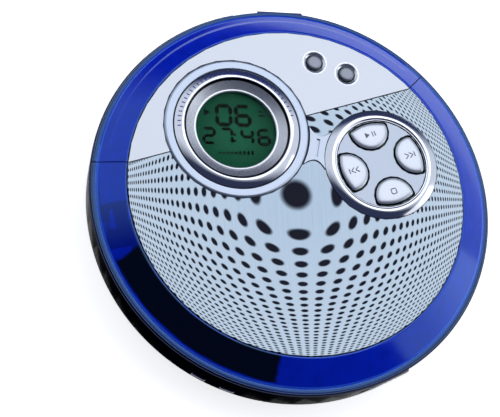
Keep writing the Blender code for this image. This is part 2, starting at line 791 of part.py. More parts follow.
def make_battery_door():
    """Flat door hinged along its front edge on two moulded pins."""
    half = BAY_HALF_X - CLEAR
    axis_y = door_axis_y()
    axis_z = door_axis_z()
    side = arc((axis_y, axis_z), DOOR_KNUCKLE_R, 0, 3 * math.pi / 2, SMALL_STEPS * 3 // 4)
    rear_y = BAY_REAR_Y - CLEAR
    side += [(axis_y, CASE_UNDERSIDE_Z), (rear_y, CASE_UNDERSIDE_Z), (rear_y, axis_z)]
    door = side_outline("battery_door", side, -half, half)
    reach = BAY_HALF_X + DOOR_PIN_LENGTH - CLEAR
    join(door, rod("door_pins", DOOR_PIN_R, (-reach, axis_y, axis_z), (reach, axis_y, axis_z), FINE_STEPS))
    rib_y = BAY_FRONT_Y + BAY_DEPTH_Y / 2
    rib_low = (-half + BAY_WALL, rib_y - DOOR_T / 2, CASE_UNDERSIDE_Z + DOOR_T / 2)
    join(door, box("door_rib", rib_low, (half - BAY_WALL, rib_y + DOOR_T / 2, FLOOR_TOP_Z)))
    grip_y = BAY_REAR_Y - BAY_WALL * 3
    for i in range(3):
        groove_y = grip_y - i * BAY_WALL * 2
        groove_low = (-CONTACT_W, groove_y - DOOR_T / 2, -OVERRUN)
        groove_high = (CONTACT_W, groove_y + DOOR_T / 2, CASE_UNDERSIDE_Z + DOOR_T / 3)
        cut(door, box("door_grip_%d" % i, groove_low, groove_high))
    paint(door, (0.012, 0.014, 0.032), 0.22)
    smooth(door)
    return door


def make_contacts():
    """Three sheet contacts: one link for both cells at the left, two at the right."""
    contact_z = (FLOOR_TOP_Z + DECK_UNDER_Z) / 2
    outer = BAY_HALF_X - CLEAR
    rows = [BAY_FRONT_Y + BAY_DEPTH_Y / 4, BAY_FRONT_Y + BAY_DEPTH_Y * 3 / 4]
    bump = SHAFT_R
    spans = (
        ("battery_contact_link", -1, rows), ("battery_contact_plus", 1, rows[:1]),
        ("battery_contact_minus", 1, rows[1:])
    )
    for name, side, places in spans:
        face = side * outer
        inner = side * (outer - CONTACT_T)
        low = (min(face, inner), places[0] - CONTACT_W / 2, contact_z - CONTACT_H / 2)
        high = (max(face, inner), places[-1] + CONTACT_W / 2, contact_z + CONTACT_H / 2)
        plate = box(name, low, high)
        for place in places:
            start = (side * (outer - CONTACT_T / 2), place, contact_z)
            end = (side * (outer - CONTACT_T - bump), place, contact_z)
            join(plate, rod(name + "_bump_%d" % int(place > rows[0]), CONTACT_W / 4, start, end, FINE_STEPS))
        paint(plate, (0.75, 0.74, 0.70), 0.25, 1.0)
        smooth(plate)


# Boards, sockets and wall keys

def make_main_board():
    """Board round the battery bay with holes for posts, bosses and the sled motor."""
    bay_x = BAY_HALF_X + BAY_WALL + CLEAR * 2
    bay_y = BAY_FRONT_Y - BAY_WALL - CLEAR * 2
    corner = math.acos(bay_x / BOARD_R)
    edge = arc((0, 0), BOARD_R, math.pi - corner, 2 * math.pi + corner, RING_STEPS)
    loops = [edge + [(bay_x, bay_y), (-bay_x, bay_y)]]
    for place in screw_places():
        loops.append(circle(SCREW_SHANK_R + BOSS_WALL + CLEAR * 3, FINE_STEPS, place))
    for place in damper_places():
        loops.append(circle(DAMPER_WAIST_R + CLEAR * 2, FINE_STEPS, place))
    loops.append(circle(SLED_MOTOR_R + CLEAR * 2, SMALL_STEPS, sled_motor_place()))
    board = outline("main_board", loops, BOARD_Z, BOARD_Z + BOARD_T)
    paint(board, (0.02, 0.16, 0.07), 0.5)
    chip_z = BOARD_Z + BOARD_T + CLEAR
    chips = (
        ("servo_chip", CHIP_X, CHIP_Y, CHIP_HALF, CHIP_HALF),
        ("memory_chip", MEMORY_X, MEMORY_Y, MEMORY_HALF_X, MEMORY_HALF_Y)
    )
    for name, x, y, half_x, half_y in chips:
        chip = box(name, (x - half_x, y - half_y, chip_z), (x + half_x, y + half_y, chip_z + CHIP_H))
        bevel_edges(chip, CLEAR)
        paint(chip, (0.02, 0.02, 0.022), 0.4)


def make_jack(name, angle, nose_r, bore_r, with_pin):
    """Socket body on the board with a round nose through the wall."""
    z = jack_z()
    body_back = WALL_INNER_R - CLEAR - JACK_BODY_D
    low = (-JACK_BODY_W / 2, body_back, z - JACK_BODY_H / 2)
    body = box(name, low, (JACK_BODY_W / 2, WALL_INNER_R - CASE_WALL, z + JACK_BODY_H / 2))
    nose_end = wall_outer_r(z) - CLEAR
    join(body, rod(name + "_nose", nose_r, (0, body_back + JACK_BODY_D / 2, z), (0, nose_end, z)))
    cut(body, rod(name + "_bore", bore_r, (0, body_back + CASE_WALL, z), (0, nose_end + OVERRUN, z), FINE_STEPS))
    if with_pin:
        pin_end = nose_end - CASE_WALL
        join(body, rod(name + "_pin", DC_PIN_R, (0, body_back + CASE_WALL / 2, z), (0, pin_end, z), FINE_STEPS))
    paint(to_wall(body, angle), (0.02, 0.02, 0.02), 0.35)
    smooth(body)


def wall_keys():
    return [
        ("volume_down_key", VOLUME_DOWN_ANGLE), ("volume_up_key", VOLUME_UP_ANGLE),
        ("bass_key", BASS_ANGLE)
    ]


def make_wall_keys():
    """Narrow bars that are pressed in through the wall, kept in by a flange behind it."""
    for name, angle in wall_keys():
        outer = wall_outer_r(WALL_KEY_Z) + WALL_KEY_PROUD
        back = WALL_INNER_R - CLEAR - WALL_KEY_REACH
        flange_front = WALL_INNER_R - CLEAR * 3
        half_w = WALL_KEY_W / 2
        half_h = WALL_KEY_H / 2
        key = box(name, (-half_w, flange_front - CLEAR, WALL_KEY_Z - half_h), (half_w, outer, WALL_KEY_Z + half_h))
        bevel_edges(key, CLEAR)
        flange_low = (-half_w - WALL_KEY_H / 2, flange_front - SLIDER_FOOT_T, WALL_KEY_Z - WALL_KEY_H)
        flange_high = (half_w + WALL_KEY_H / 2, flange_front, WALL_KEY_Z + WALL_KEY_H)
        join(key, box(name + "_flange", flange_low, flange_high))
        join(key, box(
            name + "_stem", (-half_h, back, WALL_KEY_Z - half_h), (half_h, flange_front - CLEAR, WALL_KEY_Z + half_h)
        ))
        paint(to_wall(key, angle), (0.010, 0.014, 0.045), 0.25)


def make_slider(name, angle, width, height, travel, middle_z):
    """A thumb slider: a ribbed bar in a wall slot with a wider foot behind the wall."""
    outer = wall_outer_r(middle_z) + SLIDER_PROUD - width * width / (8 * CASE_RIM_R)
    shift = -travel / 2
    front = WALL_INNER_R - CLEAR * 3
    low = (shift - width / 2, front - CLEAR, middle_z - height / 2)
    slider = box(name, low, (shift + width / 2, outer, middle_z + height / 2))
    bevel_edges(slider, CLEAR)
    ribs = 3
    for i in range(ribs):
        rib_x = shift + (i - (ribs - 1) / 2) * SLIDER_FOOT_EXTRA * 2
        groove_low = (rib_x - CLEAR, outer - CLEAR, middle_z - height)
        cut(slider, box(name + "_groove_%d" % i, groove_low, (rib_x + CLEAR, outer + OVERRUN, middle_z + height)))
    foot_low = (shift - width / 2, front - SLIDER_FOOT_T, middle_z - height / 2 - SLIDER_FOOT_EXTRA)
    foot_high = (shift + width / 2, front, middle_z + height / 2 + SLIDER_FOOT_EXTRA)
    join(slider, box(name + "_foot", foot_low, foot_high))
    paint(to_wall(slider, angle), (0.35, 0.36, 0.38), 0.35)


# Mechanism: chassis, spindle, sled and its gear train

def drive_gear_place():
    """Centre of the double gear, a pitch radius outside the rack's pitch line."""
    return (rack_pitch_x() + PITCH_R_DRIVE, -LENS_REST_R - SLED_FRONT + RACK_MARGIN)


def rack_pitch_x():
    return SLED_HALF_X + CLEAR + RACK_BODY_W + DEDENDUM_SHARE * RACK_MODULE


def sled_motor_place():
    distance = PITCH_R_WHEEL + PITCH_R_PINION
    x, y = drive_gear_place()
    return (x + distance * math.cos(SLED_MOTOR_ANGLE), y + distance * math.sin(SLED_MOTOR_ANGLE))


def make_chassis():
    """Flat frame with rod lugs at both ends and the gear's riveted axle, held in four dampers."""
    nose = CHASSIS_NOSE_HALF
    wide = CHASSIS_HALF_X
    edge = [
        (-wide, CHASSIS_REAR_Y), (-wide, -CHASSIS_SHOULDER_Y), (-nose, -CHASSIS_NOSE_Y), (nose, -CHASSIS_NOSE_Y),
        (wide, -CHASSIS_SHOULDER_Y), (wide, CHASSIS_REAR_Y)
    ]
    window_half = ROD_X - ROD_R - CLEAR * 4
    window_rear = -MOTOR_R - SLED_REAR / 4
    window_front = -CHASSIS_NOSE_Y + SLED_FRONT
    loops = [edge, [
        (-window_half, window_rear), (-window_half, window_front), (window_half, window_front),
        (window_half, window_rear)
    ]]
    for place in damper_places():
        loops.append(circle(DAMPER_WAIST_R + CLEAR, SMALL_STEPS, place))
    loops.append(circle(SHAFT_R + CLEAR, FINE_STEPS, sled_motor_place()))
    chassis = outline("mechanism_chassis", loops, CHASSIS_Z, CHASSIS_TOP_Z)
    axle_top = SLED_Z + CLEAR + GEAR_T + WHEEL_T + CLEAR
    join(chassis, cylinder(
        "gear_axle", GEAR_AXLE_R, CHASSIS_Z + CHASSIS_T / 2, axle_top, drive_gear_place(), FINE_STEPS
    ))
    lug_half = ROD_R + CLEAR + ROD_R
    lug_top = ROD_Z + lug_half
    rear_y = -MOTOR_R
    for side, x in (("left", -ROD_X), ("right", ROD_X)):
        for end, y in (("front", -CHASSIS_NOSE_Y), ("rear", rear_y)):
            low = (x - lug_half, y, CHASSIS_Z + CHASSIS_T / 2)
            join(chassis, box("lug_%s_%s" % (side, end), low, (x + lug_half, y + LUG_T, lug_top)))
        bore = rod("rod_bore_" + side, ROD_R + CLEAR, (x, -CHASSIS_NOSE_Y - OVERRUN, ROD_Z), (x, OVERRUN, ROD_Z), FINE_STEPS)
        cut(chassis, bore)
        guide = rod("guide_rod_" + side, ROD_R, (x, -CHASSIS_NOSE_Y, ROD_Z), (x, rear_y + LUG_T, ROD_Z), FINE_STEPS)
        paint(guide, (0.75, 0.75, 0.77), 0.12, 1.0)
        smooth(guide)
    paint(chassis, (0.42, 0.43, 0.45), 0.35, 1.0)


def make_dampers():
    """Grooved rubber bushes that float the chassis on the casing's posts."""
    bore = POST_PIN_R + CLEAR
    waist = DAMPER_WAIST_R
    low = CHASSIS_Z - CLEAR - DAMPER_FLANGE
    high = CHASSIS_TOP_Z + CLEAR + DAMPER_FLANGE
    profile = [
        (bore, high), (DAMPER_R, high), (DAMPER_R, CHASSIS_TOP_Z + CLEAR), (waist, CHASSIS_TOP_Z + CLEAR),
        (waist, CHASSIS_Z - CLEAR), (DAMPER_R, CHASSIS_Z - CLEAR), (DAMPER_R, low), (bore, low)
    ]
    for i, place in enumerate(damper_places()):
        damper = turned("chassis_damper_%d" % (i + 1), profile, FINE_STEPS, place, closed=True)
        paint(damper, (0.03, 0.03, 0.03), 0.85)
        smooth(damper)


def make_spindle():
    """Flat motor, shaft and turntable, whose hub holds three centring balls."""
    platter_z = DISC_SEAT_Z - TURNTABLE_SEAT_H
    motor_low = CHASSIS_TOP_Z + CLEAR
    motor_high = platter_z - TURNTABLE_T
    bore = SHAFT_R + CLEAR
    motor_profile = [
        (bore, motor_high), (bore + BOSS_WALL, motor_high), (bore + BOSS_WALL, motor_high - CLEAR * 2),
        (MOTOR_R - BOSS_WALL, motor_high - CLEAR * 2), (MOTOR_R, motor_high - BOSS_WALL),
        (MOTOR_R, motor_low), (bore, motor_low)
    ]
    motor = turned("spindle_motor", motor_profile, RING_STEPS // 2, closed=True)
    paint(motor, (0.60, 0.60, 0.62), 0.3, 1.0)
    smooth(motor)
    hub_top = DISC_SEAT_Z + HUB_H
    shaft = cylinder("spindle_shaft", SHAFT_R, motor_low, hub_top - CLEAR, steps=FINE_STEPS)
    paint(shaft, (0.75, 0.75, 0.77), 0.15, 1.0)
    smooth(shaft)
    seat_in = TURNTABLE_R - TURNTABLE_SEAT_W
    dish_z = platter_z + TURNTABLE_T
    profile = [
        (bore, hub_top), (HUB_R - HUB_CHAMFER, hub_top), (HUB_R, hub_top - HUB_CHAMFER), (HUB_R, dish_z),
        (seat_in, dish_z), (seat_in, DISC_SEAT_Z), (TURNTABLE_R, DISC_SEAT_Z), (TURNTABLE_R, platter_z),
        (bore + BOSS_WALL * 2, platter_z), (bore + BOSS_WALL * 2, platter_z - CLEAR * 2), (bore, platter_z - CLEAR * 2)
    ]
    hub = turned("turntable", profile, RING_STEPS, closed=True)
    ball_z = DISC_SEAT_Z + BALL_LIFT
    for i in range(3):
        turn = math.pi / 2 + 2 * math.pi * i / 3
        reach = HUB_R - BALL_SINK
        join(hub, ball("hub_ball_%d" % i, BALL_R, Vector((reach * math.cos(turn), reach * math.sin(turn), ball_z))))
    paint(hub, (0.05, 0.05, 0.055), 0.4)
    smooth(hub)


def ball(name, radius, centre):
    mesh = bpy.data.meshes.new(name)
    shape = bmesh.new()
    bmesh.ops.create_uvsphere(
        shape, u_segments=FINE_STEPS, v_segments=FINE_STEPS * 3 // 4, radius=radius, matrix=Matrix.Translation(centre)
    )
    shape.to_mesh(mesh)
    shape.free()
    return add_object(name, mesh)


def make_sled():
    """Pickup sled on two rods with its lens holder, magnets and side rack."""
    front = -LENS_REST_R - SLED_FRONT
    rear = -LENS_REST_R + SLED_REAR
    sled = box("pickup_sled", (-SLED_HALF_X, front, SLED_Z), (SLED_HALF_X, rear, SLED_TOP_Z))
    for side, x in (("left", -ROD_X), ("right", ROD_X)):
        bush = rod("bush_" + side, ROD_R + CLEAR + ROD_R, (x, front, ROD_Z), (x, rear, ROD_Z))
        join(sled, bush)
        cut(sled, rod("bush_bore_" + side, ROD_R + CLEAR, (x, front - OVERRUN, ROD_Z), (x, rear + OVERRUN, ROD_Z), FINE_STEPS))
    half = LENS_HOLDER_HALF
    holder_z = SLED_Z + CASE_WALL
    clear = CLEAR + FOCUS_TRAVEL
    well_half_x = half + MAGNET_T + clear
    cut(sled, box(
        "lens_well", (-well_half_x, -LENS_REST_R - half + clear, holder_z - clear),
        (well_half_x, -LENS_REST_R + half + clear, SLED_TOP_Z + OVERRUN)
    ))
    for side, sign in (("left", -1), ("right", 1)):
        inner = sign * (half + clear)
        outer = sign * (half + MAGNET_T + clear + CLEAR)
        low = (min(inner, outer), -LENS_REST_R - half / 2, holder_z - MAGNET_T)
        high = (max(inner, outer), -LENS_REST_R + half / 2, SLED_TOP_Z - CLEAR)
        join(sled, box("focus_magnet_" + side, low, high))
    paint(sled, (0.035, 0.035, 0.04), 0.45)

    holder_low = (-half, -LENS_REST_R - half + 2 * clear, holder_z)
    holder_high = (half, -LENS_REST_R + half, holder_z + LENS_HOLDER_H)
    holder = box("lens_holder", holder_low, holder_high)
    bevel_edges(holder, MAGNET_T / 2, 1)
    ring_top = holder_z + LENS_HOLDER_H + LENS_H / 2
    centre = (0, -LENS_REST_R)
    join(holder, cylinder("lens_ring", LENS_R + MAGNET_T / 2, holder_z + LENS_HOLDER_H / 2, ring_top, centre))
    cut(holder, cylinder("lens_bore", LENS_R + CLEAR, ring_top - LENS_H, ring_top + OVERRUN, centre))
    paint(holder, (0.03, 0.03, 0.035), 0.4)
    lens_low = ring_top - LENS_H + CLEAR
    lens_profile = [(0, ring_top + CLEAR)]
    for i in range(1, 4):
        t = math.pi / 2 * i / 4
        lens_profile.append((LENS_R * math.sin(t), ring_top + CLEAR - LENS_H / 2 * (1 - math.cos(t))))
    lens_profile += [(LENS_R, ring_top - LENS_H / 2), (LENS_R, lens_low), (0, lens_low)]
    lens = turned("lens", lens_profile, SMALL_STEPS, centre)
    paint(lens, (0.45, 0.40, 0.75), 0.05)
    smooth(lens)

    make_rack(front, rear)


def make_rack(front, rear):
    """Toothed bar on the sled's side, long enough to stay in mesh over the whole travel."""
    pitch = math.pi * RACK_MODULE
    thickness = (pitch - BACKLASH) / 2
    tip = ADDENDUM_SHARE * RACK_MODULE
    root = DEDENDUM_SHARE * RACK_MODULE
    slope = math.tan(PRESSURE_ANGLE)
    line_x = rack_pitch_x()
    gear_y = drive_gear_place()[1]
    back_x = SLED_HALF_X + CLEAR
    rear_end = gear_y + SLED_TRAVEL + RACK_MARGIN
    points = [(back_x, rear_end), (back_x, front)]
    first = math.ceil((front - gear_y) / pitch - 0.5)
    last = math.floor((rear_end - gear_y) / pitch - 0.5)
    half_root = thickness / 2 + root * slope
    half_tip = thickness / 2 - tip * slope
    points.append((line_x - root, front))
    for step in range(first, last + 1):
        middle = gear_y + (step + 0.5) * pitch
        if middle - half_root <= front or middle + half_root >= rear_end:
            continue
        points += [
            (line_x - root, middle - half_root), (line_x + tip, middle - half_tip),
            (line_x + tip, middle + half_tip), (line_x - root, middle + half_root)
        ]
    points.append((line_x - root, rear_end))
    rack_low = SLED_Z + CLEAR
    rack = outline("sled_rack", [points], rack_low, rack_low + GEAR_T)
    paint(rack, (0.80, 0.78, 0.72), 0.45)


def make_gear_train():
    """Double gear on the chassis axle, and the sled motor with its pinion above the chassis."""
    place = drive_gear_place()
    motor = sled_motor_place()
    rack_low = SLED_Z + CLEAR
    wheel_low = rack_low + GEAR_T
    bore = circle(GEAR_AXLE_R + CLEAR, FINE_STEPS, place)
    teeth = gear_outline(DRIVE_TEETH, RACK_MODULE, place, math.pi)
    gear = outline("drive_gear", [teeth, bore], rack_low, wheel_low + CLEAR)
    wheel_teeth = gear_outline(WHEEL_TEETH, WHEEL_MODULE, place, SLED_MOTOR_ANGLE)
    join(gear, outline("wheel_teeth", [wheel_teeth, bore], wheel_low, wheel_low + WHEEL_T))
    paint(gear, (0.85, 0.84, 0.80), 0.45)
    gap_angle = SLED_MOTOR_ANGLE + math.pi + math.pi / PINION_TEETH
    pinion = outline(
        "motor_pinion", [gear_outline(PINION_TEETH, WHEEL_MODULE, motor, gap_angle)], wheel_low, wheel_low + WHEEL_T
    )
    motor_top = CHASSIS_Z - CLEAR
    join(pinion, cylinder(
        "pinion_shaft", SHAFT_R, motor_top - SLED_MOTOR_H / 2, wheel_low + WHEEL_T / 2, motor, FINE_STEPS
    ))
    paint(pinion, (0.70, 0.60, 0.35), 0.3, 1.0)
    body = turned(
        "sled_motor",
        [
            (SHAFT_R + CLEAR, motor_top), (SLED_MOTOR_R - CLEAR * 2, motor_top), (SLED_MOTOR_R, motor_top - CLEAR * 2),
            (SLED_MOTOR_R, motor_top - SLED_MOTOR_H), (SHAFT_R + CLEAR, motor_top - SLED_MOTOR_H)
        ],
        SMALL_STEPS, motor, closed=True
    )
    paint(body, (0.62, 0.62, 0.64), 0.3, 1.0)
    smooth(body)


# Lid

def rear_region(name, offset, low, high):
    """Prism behind the chord seam, whose ends rise along the ring's seams."""
    reach = CASE_RIM_R + CASE_RIM_R / 2
    rise = (reach - CHORD_HALF_X) * SEAM_RISE_SHARE
    y = CHORD_Y + offset
    points = [
        (-reach, y + rise), (-CHORD_HALF_X, y), (CHORD_HALF_X, y), (reach, y + rise), (reach, reach), (-reach, reach)
    ]
    return turn_by_style(outline(name, [points], low, high))


def ring_profile():
    """Translucent ring: a slightly crowned slope, a rounded crest and a flat lip."""
    points = []
    for i in range(5):
        share = i / 4
        radius = RING_INNER_R + (CREST_R - RING_INNER_R) * share
        points.append((radius, ring_top_z(radius) + RING_BULGE * 4 * share * (1 - share)))
    inner_drop = RING_WALL * RING_SECANT
    lip_inner_r = CREST_R - inner_drop / 2
    inner_r = RING_INNER_R + (PLATE_TOP_Z - inner_drop - LID_EDGE_Z) / RING_SLOPE
    points += [(LID_R, LIP_Z), (LID_R, LID_EDGE_Z), (max(inner_r, lip_inner_r - RING_WALL), LID_EDGE_Z)]
    points += [(RING_INNER_R, PLATE_TOP_Z - inner_drop)]
    return points


def make_ring():
    """Front and rear mouldings of the ring, parted at the chord's ends."""
    low = LID_EDGE_Z - OVERRUN
    high = PLATE_TOP_Z + OVERRUN
    front = turned("lid_ring_front", ring_profile(), ROUND_STEPS, closed=True)
    cut(front, rear_region("seam_front", -SEAM_GAP / 2, low, high))
    rear = turned("lid_ring_rear", ring_profile(), ROUND_STEPS, closed=True)
    keep_inside(rear, rear_region("seam_rear", SEAM_GAP / 2, low, high))
    front_angle = math.acos(-TONGUE_FRONT_SHARE)
    tongue_front = HINGE_Y - KNUCKLE_R * TONGUE_FRONT_SHARE
    tongue_top = LIP_Z - CLEAR
    side = arc((HINGE_Y, HINGE_Z), KNUCKLE_R, front_angle, 2 * math.pi, SMALL_STEPS // 2)
    side += [
        (HINGE_Y + KNUCKLE_R, CASE_RIM_Z - CLEAR), (CASE_RIM_R + OVERRUN, CASE_RIM_Z - CLEAR),
        (CASE_RIM_R + OVERRUN, tongue_top), (tongue_front, tongue_top)
    ]
    tongue = side_outline("tongue", side, -TONGUE_HALF_X, TONGUE_HALF_X)
    keep_inside(tongue, cylinder("tongue_trim", CASE_RIM_R, 0, PLATE_TOP_Z, steps=ROUND_STEPS))
    join(rear, tongue)
    reach = TONGUE_HALF_X + OVERRUN
    cut(rear, rod("tongue_hole", HINGE_PIN_R + CLEAR, (-reach, HINGE_Y, HINGE_Z), (reach, HINGE_Y, HINGE_Z), FINE_STEPS))
    for piece in (front, rear):
        paint(piece, (0.01, 0.03, 0.55), 0.08, 0.0, 0.6)
        smooth(piece)


def make_hinge_pin():
    reach = TONGUE_HALF_X + CLEAR + LUG_W
    pin = rod("hinge_pin", HINGE_PIN_R, (-reach, HINGE_Y, HINGE_Z), (reach, HINGE_Y, HINGE_Z), FINE_STEPS)
    paint(pin, (0.75, 0.75, 0.77), 0.2, 1.0)
    smooth(pin)


def make_liner():
    """Inner shell of the lid: a flat pan, a sloping skirt under the ring and a rim wall."""
    skirt_top = LID_GAP - RING_WALL * RING_SECANT - CLEAR * 2 * RING_SECANT - LID_GAP
    skirt_low = skirt_top - SKIRT_T * RING_SECANT
    meet_top_r = RING_INNER_R + (PLATE_TOP_Z + skirt_top - LINER_TOP_Z) / RING_SLOPE
    meet_low_r = RING_INNER_R + (PLATE_TOP_Z + skirt_low - LINER_Z) / RING_SLOPE
    wall_out = LINER_WALL_R
    wall_in = LINER_WALL_R - LINER_WALL_T
    wall_top = PLATE_UNDER_Z - CLEAR
    end_r = LINER_SKIRT_R
    profile = [
        (0, LINER_TOP_Z), (wall_in, LINER_TOP_Z), (wall_in, wall_top), (wall_out, wall_top),
        (wall_out, LINER_TOP_Z), (meet_top_r, LINER_TOP_Z), (end_r, ring_top_z(end_r) + skirt_top),
        (end_r, ring_top_z(end_r) + skirt_low), (meet_low_r, LINER_Z), (0, LINER_Z)
    ]
    liner = turned("lid_liner", profile)
    well = HUB_R + BOSS_WALL
    hub_clear = cylinder("hub_recess", well, LINER_Z - OVERRUN, LINER_Z + LINER_T / 2, steps=RING_STEPS)
    cut(liner, hub_clear)
    for i, place in enumerate(lid_screw_places()):
        cut(liner, cylinder(
            "lid_screw_hole_%d" % i, LID_SCREW_R + CLEAR, LINER_Z - OVERRUN, LINER_TOP_Z + OVERRUN, place, FINE_STEPS
        ))
    paint(liner, (0.028, 0.03, 0.05), 0.4)
    smooth(liner)


def lid_screw_places():
    """Boss places under the plates: two behind the seam, three before it, in the turned frame."""
    reach = LINER_WALL_R - LINER_WALL_T - LID_BOSS_R - CLEAR * 2
    angles = [math.radians(a) for a in (138.5, 35.5, 204.0, 315.0, 261.0)]
    return [styled(reach * math.cos(a), reach * math.sin(a)) for a in angles]


def plate_hole_cutters(tag):
    """The openings that the display, the pad and the bridge need through the plates."""
    low = PLATE_UNDER_Z - OVERRUN
    high = PLATE_TOP_Z + OVERRUN
    display = cylinder("display_hole_" + tag, BEZEL_R + CLEAR, low, high, styled(DISPLAY_X, DISPLAY_Y), RING_STEPS)
    pad = cylinder("pad_hole_" + tag, PAD_R + CLEAR, low, high, styled(PAD_X, PAD_Y), RING_STEPS)
    bridge = turn_by_style(outline("bridge_hole_" + tag, [bridge_outline(CLEAR)], low, high))
    return display, pad, bridge


def make_plates():
    """Dotted front plate and plain rear plate, flat discs parted along the chord."""
    low = PLATE_UNDER_Z
    high = PLATE_TOP_Z
    front = cylinder("front_plate", PLATE_R, low, high, steps=ROUND_STEPS)
    cut(front, rear_region("chord_front", -SEAM_GAP / 2, low - OVERRUN, high + OVERRUN))
    cut(front, *plate_hole_cutters("front"))
    rear = cylinder("rear_plate", PLATE_R, low, high, steps=ROUND_STEPS)
    keep_inside(rear, rear_region("chord_rear", SEAM_GAP / 2, low - OVERRUN, high + OVERRUN))
    cut(rear, *plate_hole_cutters("rear"))
    for name, x, y in small_keys():
        place = styled(x, y)
        dish_low = high - PLATE_T / 2
        slope = (SMALL_DISH_R - SMALL_HOLE_R) * OVERRUN / (PLATE_T / 2)
        cut(rear, cylinder(name + "_dish", SMALL_HOLE_R, dish_low, high + OVERRUN, place, SMALL_STEPS,
                           SMALL_DISH_R + slope))
        cut(rear, cylinder(name + "_hole", SMALL_HOLE_R, low - OVERRUN, high, place, SMALL_STEPS))
    for i, place in enumerate(lid_screw_places()):
        owner = rear if i < 2 else front
        boss_low = LINER_TOP_Z + CLEAR
        boss = cylinder("plate_boss_%d" % i, LID_BOSS_R, boss_low, low + PLATE_T / 2, place, FINE_STEPS)
        bore_top = low
        cut(boss, cylinder("plate_bore_%d" % i, LID_SCREW_R + CLEAR, boss_low - OVERRUN, bore_top, place, FINE_STEPS))
        join(owner, boss)
    paint(front, (0.60, 0.68, 0.78), 0.3, 0.8)
    paint(rear, (0.78, 0.80, 0.84), 0.35, 0.6)
    for plate in (front, rear):
        smooth(plate)


def small_keys():
    return [("mode_button", MODE_X, MODE_Y), ("program_button", PROGRAM_X, PROGRAM_Y)]


def make_small_keys():
    """Round mode and program keys with a stem down to the key board."""
    for name, x, y in small_keys():
        place = styled(x, y)
        top = PLATE_TOP_Z + SMALL_KEY_RISE
        key = cylinder(name, SMALL_KEY_R, KEY_STEM_Z, top - KEY_CROWN, place)
        cap = cylinder(name + "_cap", SMALL_KEY_R, top - KEY_CROWN * 2, top, place, SMALL_STEPS, SMALL_KEY_R - KEY_CROWN)
        join(key, cap)
        paint(key, (0.32, 0.34, 0.38), 0.35, 0.5)
        smooth(key)


def make_display():
    """Bezel, mirror ring, inner cone, window and panel, stacked about the display's centre."""
    centre = styled(DISPLAY_X, DISPLAY_Y)
    foot = LINER_TOP_Z + CLEAR
    bezel_top = PLATE_TOP_Z + BEZEL_RISE
    inner = MIRROR_R + CLEAR
    bezel_profile = [
        (inner, bezel_top), (BEZEL_R - BEZEL_RISE, bezel_top), (BEZEL_R, bezel_top - BEZEL_RISE), (BEZEL_R, foot),
        (inner, foot)
    ]
    bezel = turned("display_bezel", bezel_profile, RING_STEPS, centre, closed=True)
    paint(bezel, (0.72, 0.76, 0.82), 0.35, 0.8)
    smooth(bezel)

    mirror_mid = (MIRROR_R + MIRROR_INNER_R) / 2
    mirror_half = (MIRROR_R - MIRROR_INNER_R) / 2
    shoulder = bezel_top - CLEAR
    profile = []
    for i in range(5):
        t = math.pi * (1 - i / 4)
        profile.append((mirror_mid + mirror_half * math.cos(t), shoulder + (MIRROR_RISE - BEZEL_RISE + CLEAR) * math.sin(t)))
    profile += [(MIRROR_R, foot), (MIRROR_INNER_R, foot)]
    mirror = turned("display_mirror_ring", profile, RING_STEPS, centre, closed=True)
    paint(mirror, (0.85, 0.87, 0.90), 0.05, 1.0)
    smooth(mirror)

    cone_top = shoulder - CLEAR
    cone_low = cone_top - CONE_DROP
    lip_r = CONE_INNER_R + (CONE_R - CONE_INNER_R) / 5
    cone_profile = [
        (CONE_INNER_R, cone_low + CLEAR), (lip_r, cone_low + CLEAR), (lip_r, cone_low), (CONE_R, cone_top),
        (CONE_R, cone_low - CONE_DROP), (CONE_INNER_R, cone_low - CONE_DROP)
    ]
    cone = turned("display_inner_ring", cone_profile, RING_STEPS, centre, closed=True)
    paint(cone, (0.45, 0.46, 0.47), 0.5, 0.7)
    smooth(cone)

    window_top = cone_low
    window = cylinder("display_window", CONE_INNER_R - CLEAR, window_top - WINDOW_T, window_top, centre, RING_STEPS)
    paint(window, (0.6, 0.8, 0.7), 0.03, 0.0, 0.3)
    smooth(window)
    panel_top = cone_low - CONE_DROP - CLEAR
    panel = box(
        "display_panel", (DISPLAY_X - PANEL_HALF, DISPLAY_Y - PANEL_HALF, panel_top - PANEL_T),
        (DISPLAY_X + PANEL_HALF, DISPLAY_Y + PANEL_HALF, panel_top)
    )
    keep_inside(turn_by_style(panel), cylinder(
        "panel_corners", MIRROR_INNER_R - CLEAR, foot - OVERRUN, bezel_top, centre, RING_STEPS
    ))
    paint(panel, (0.03, 0.09, 0.06), 0.3)


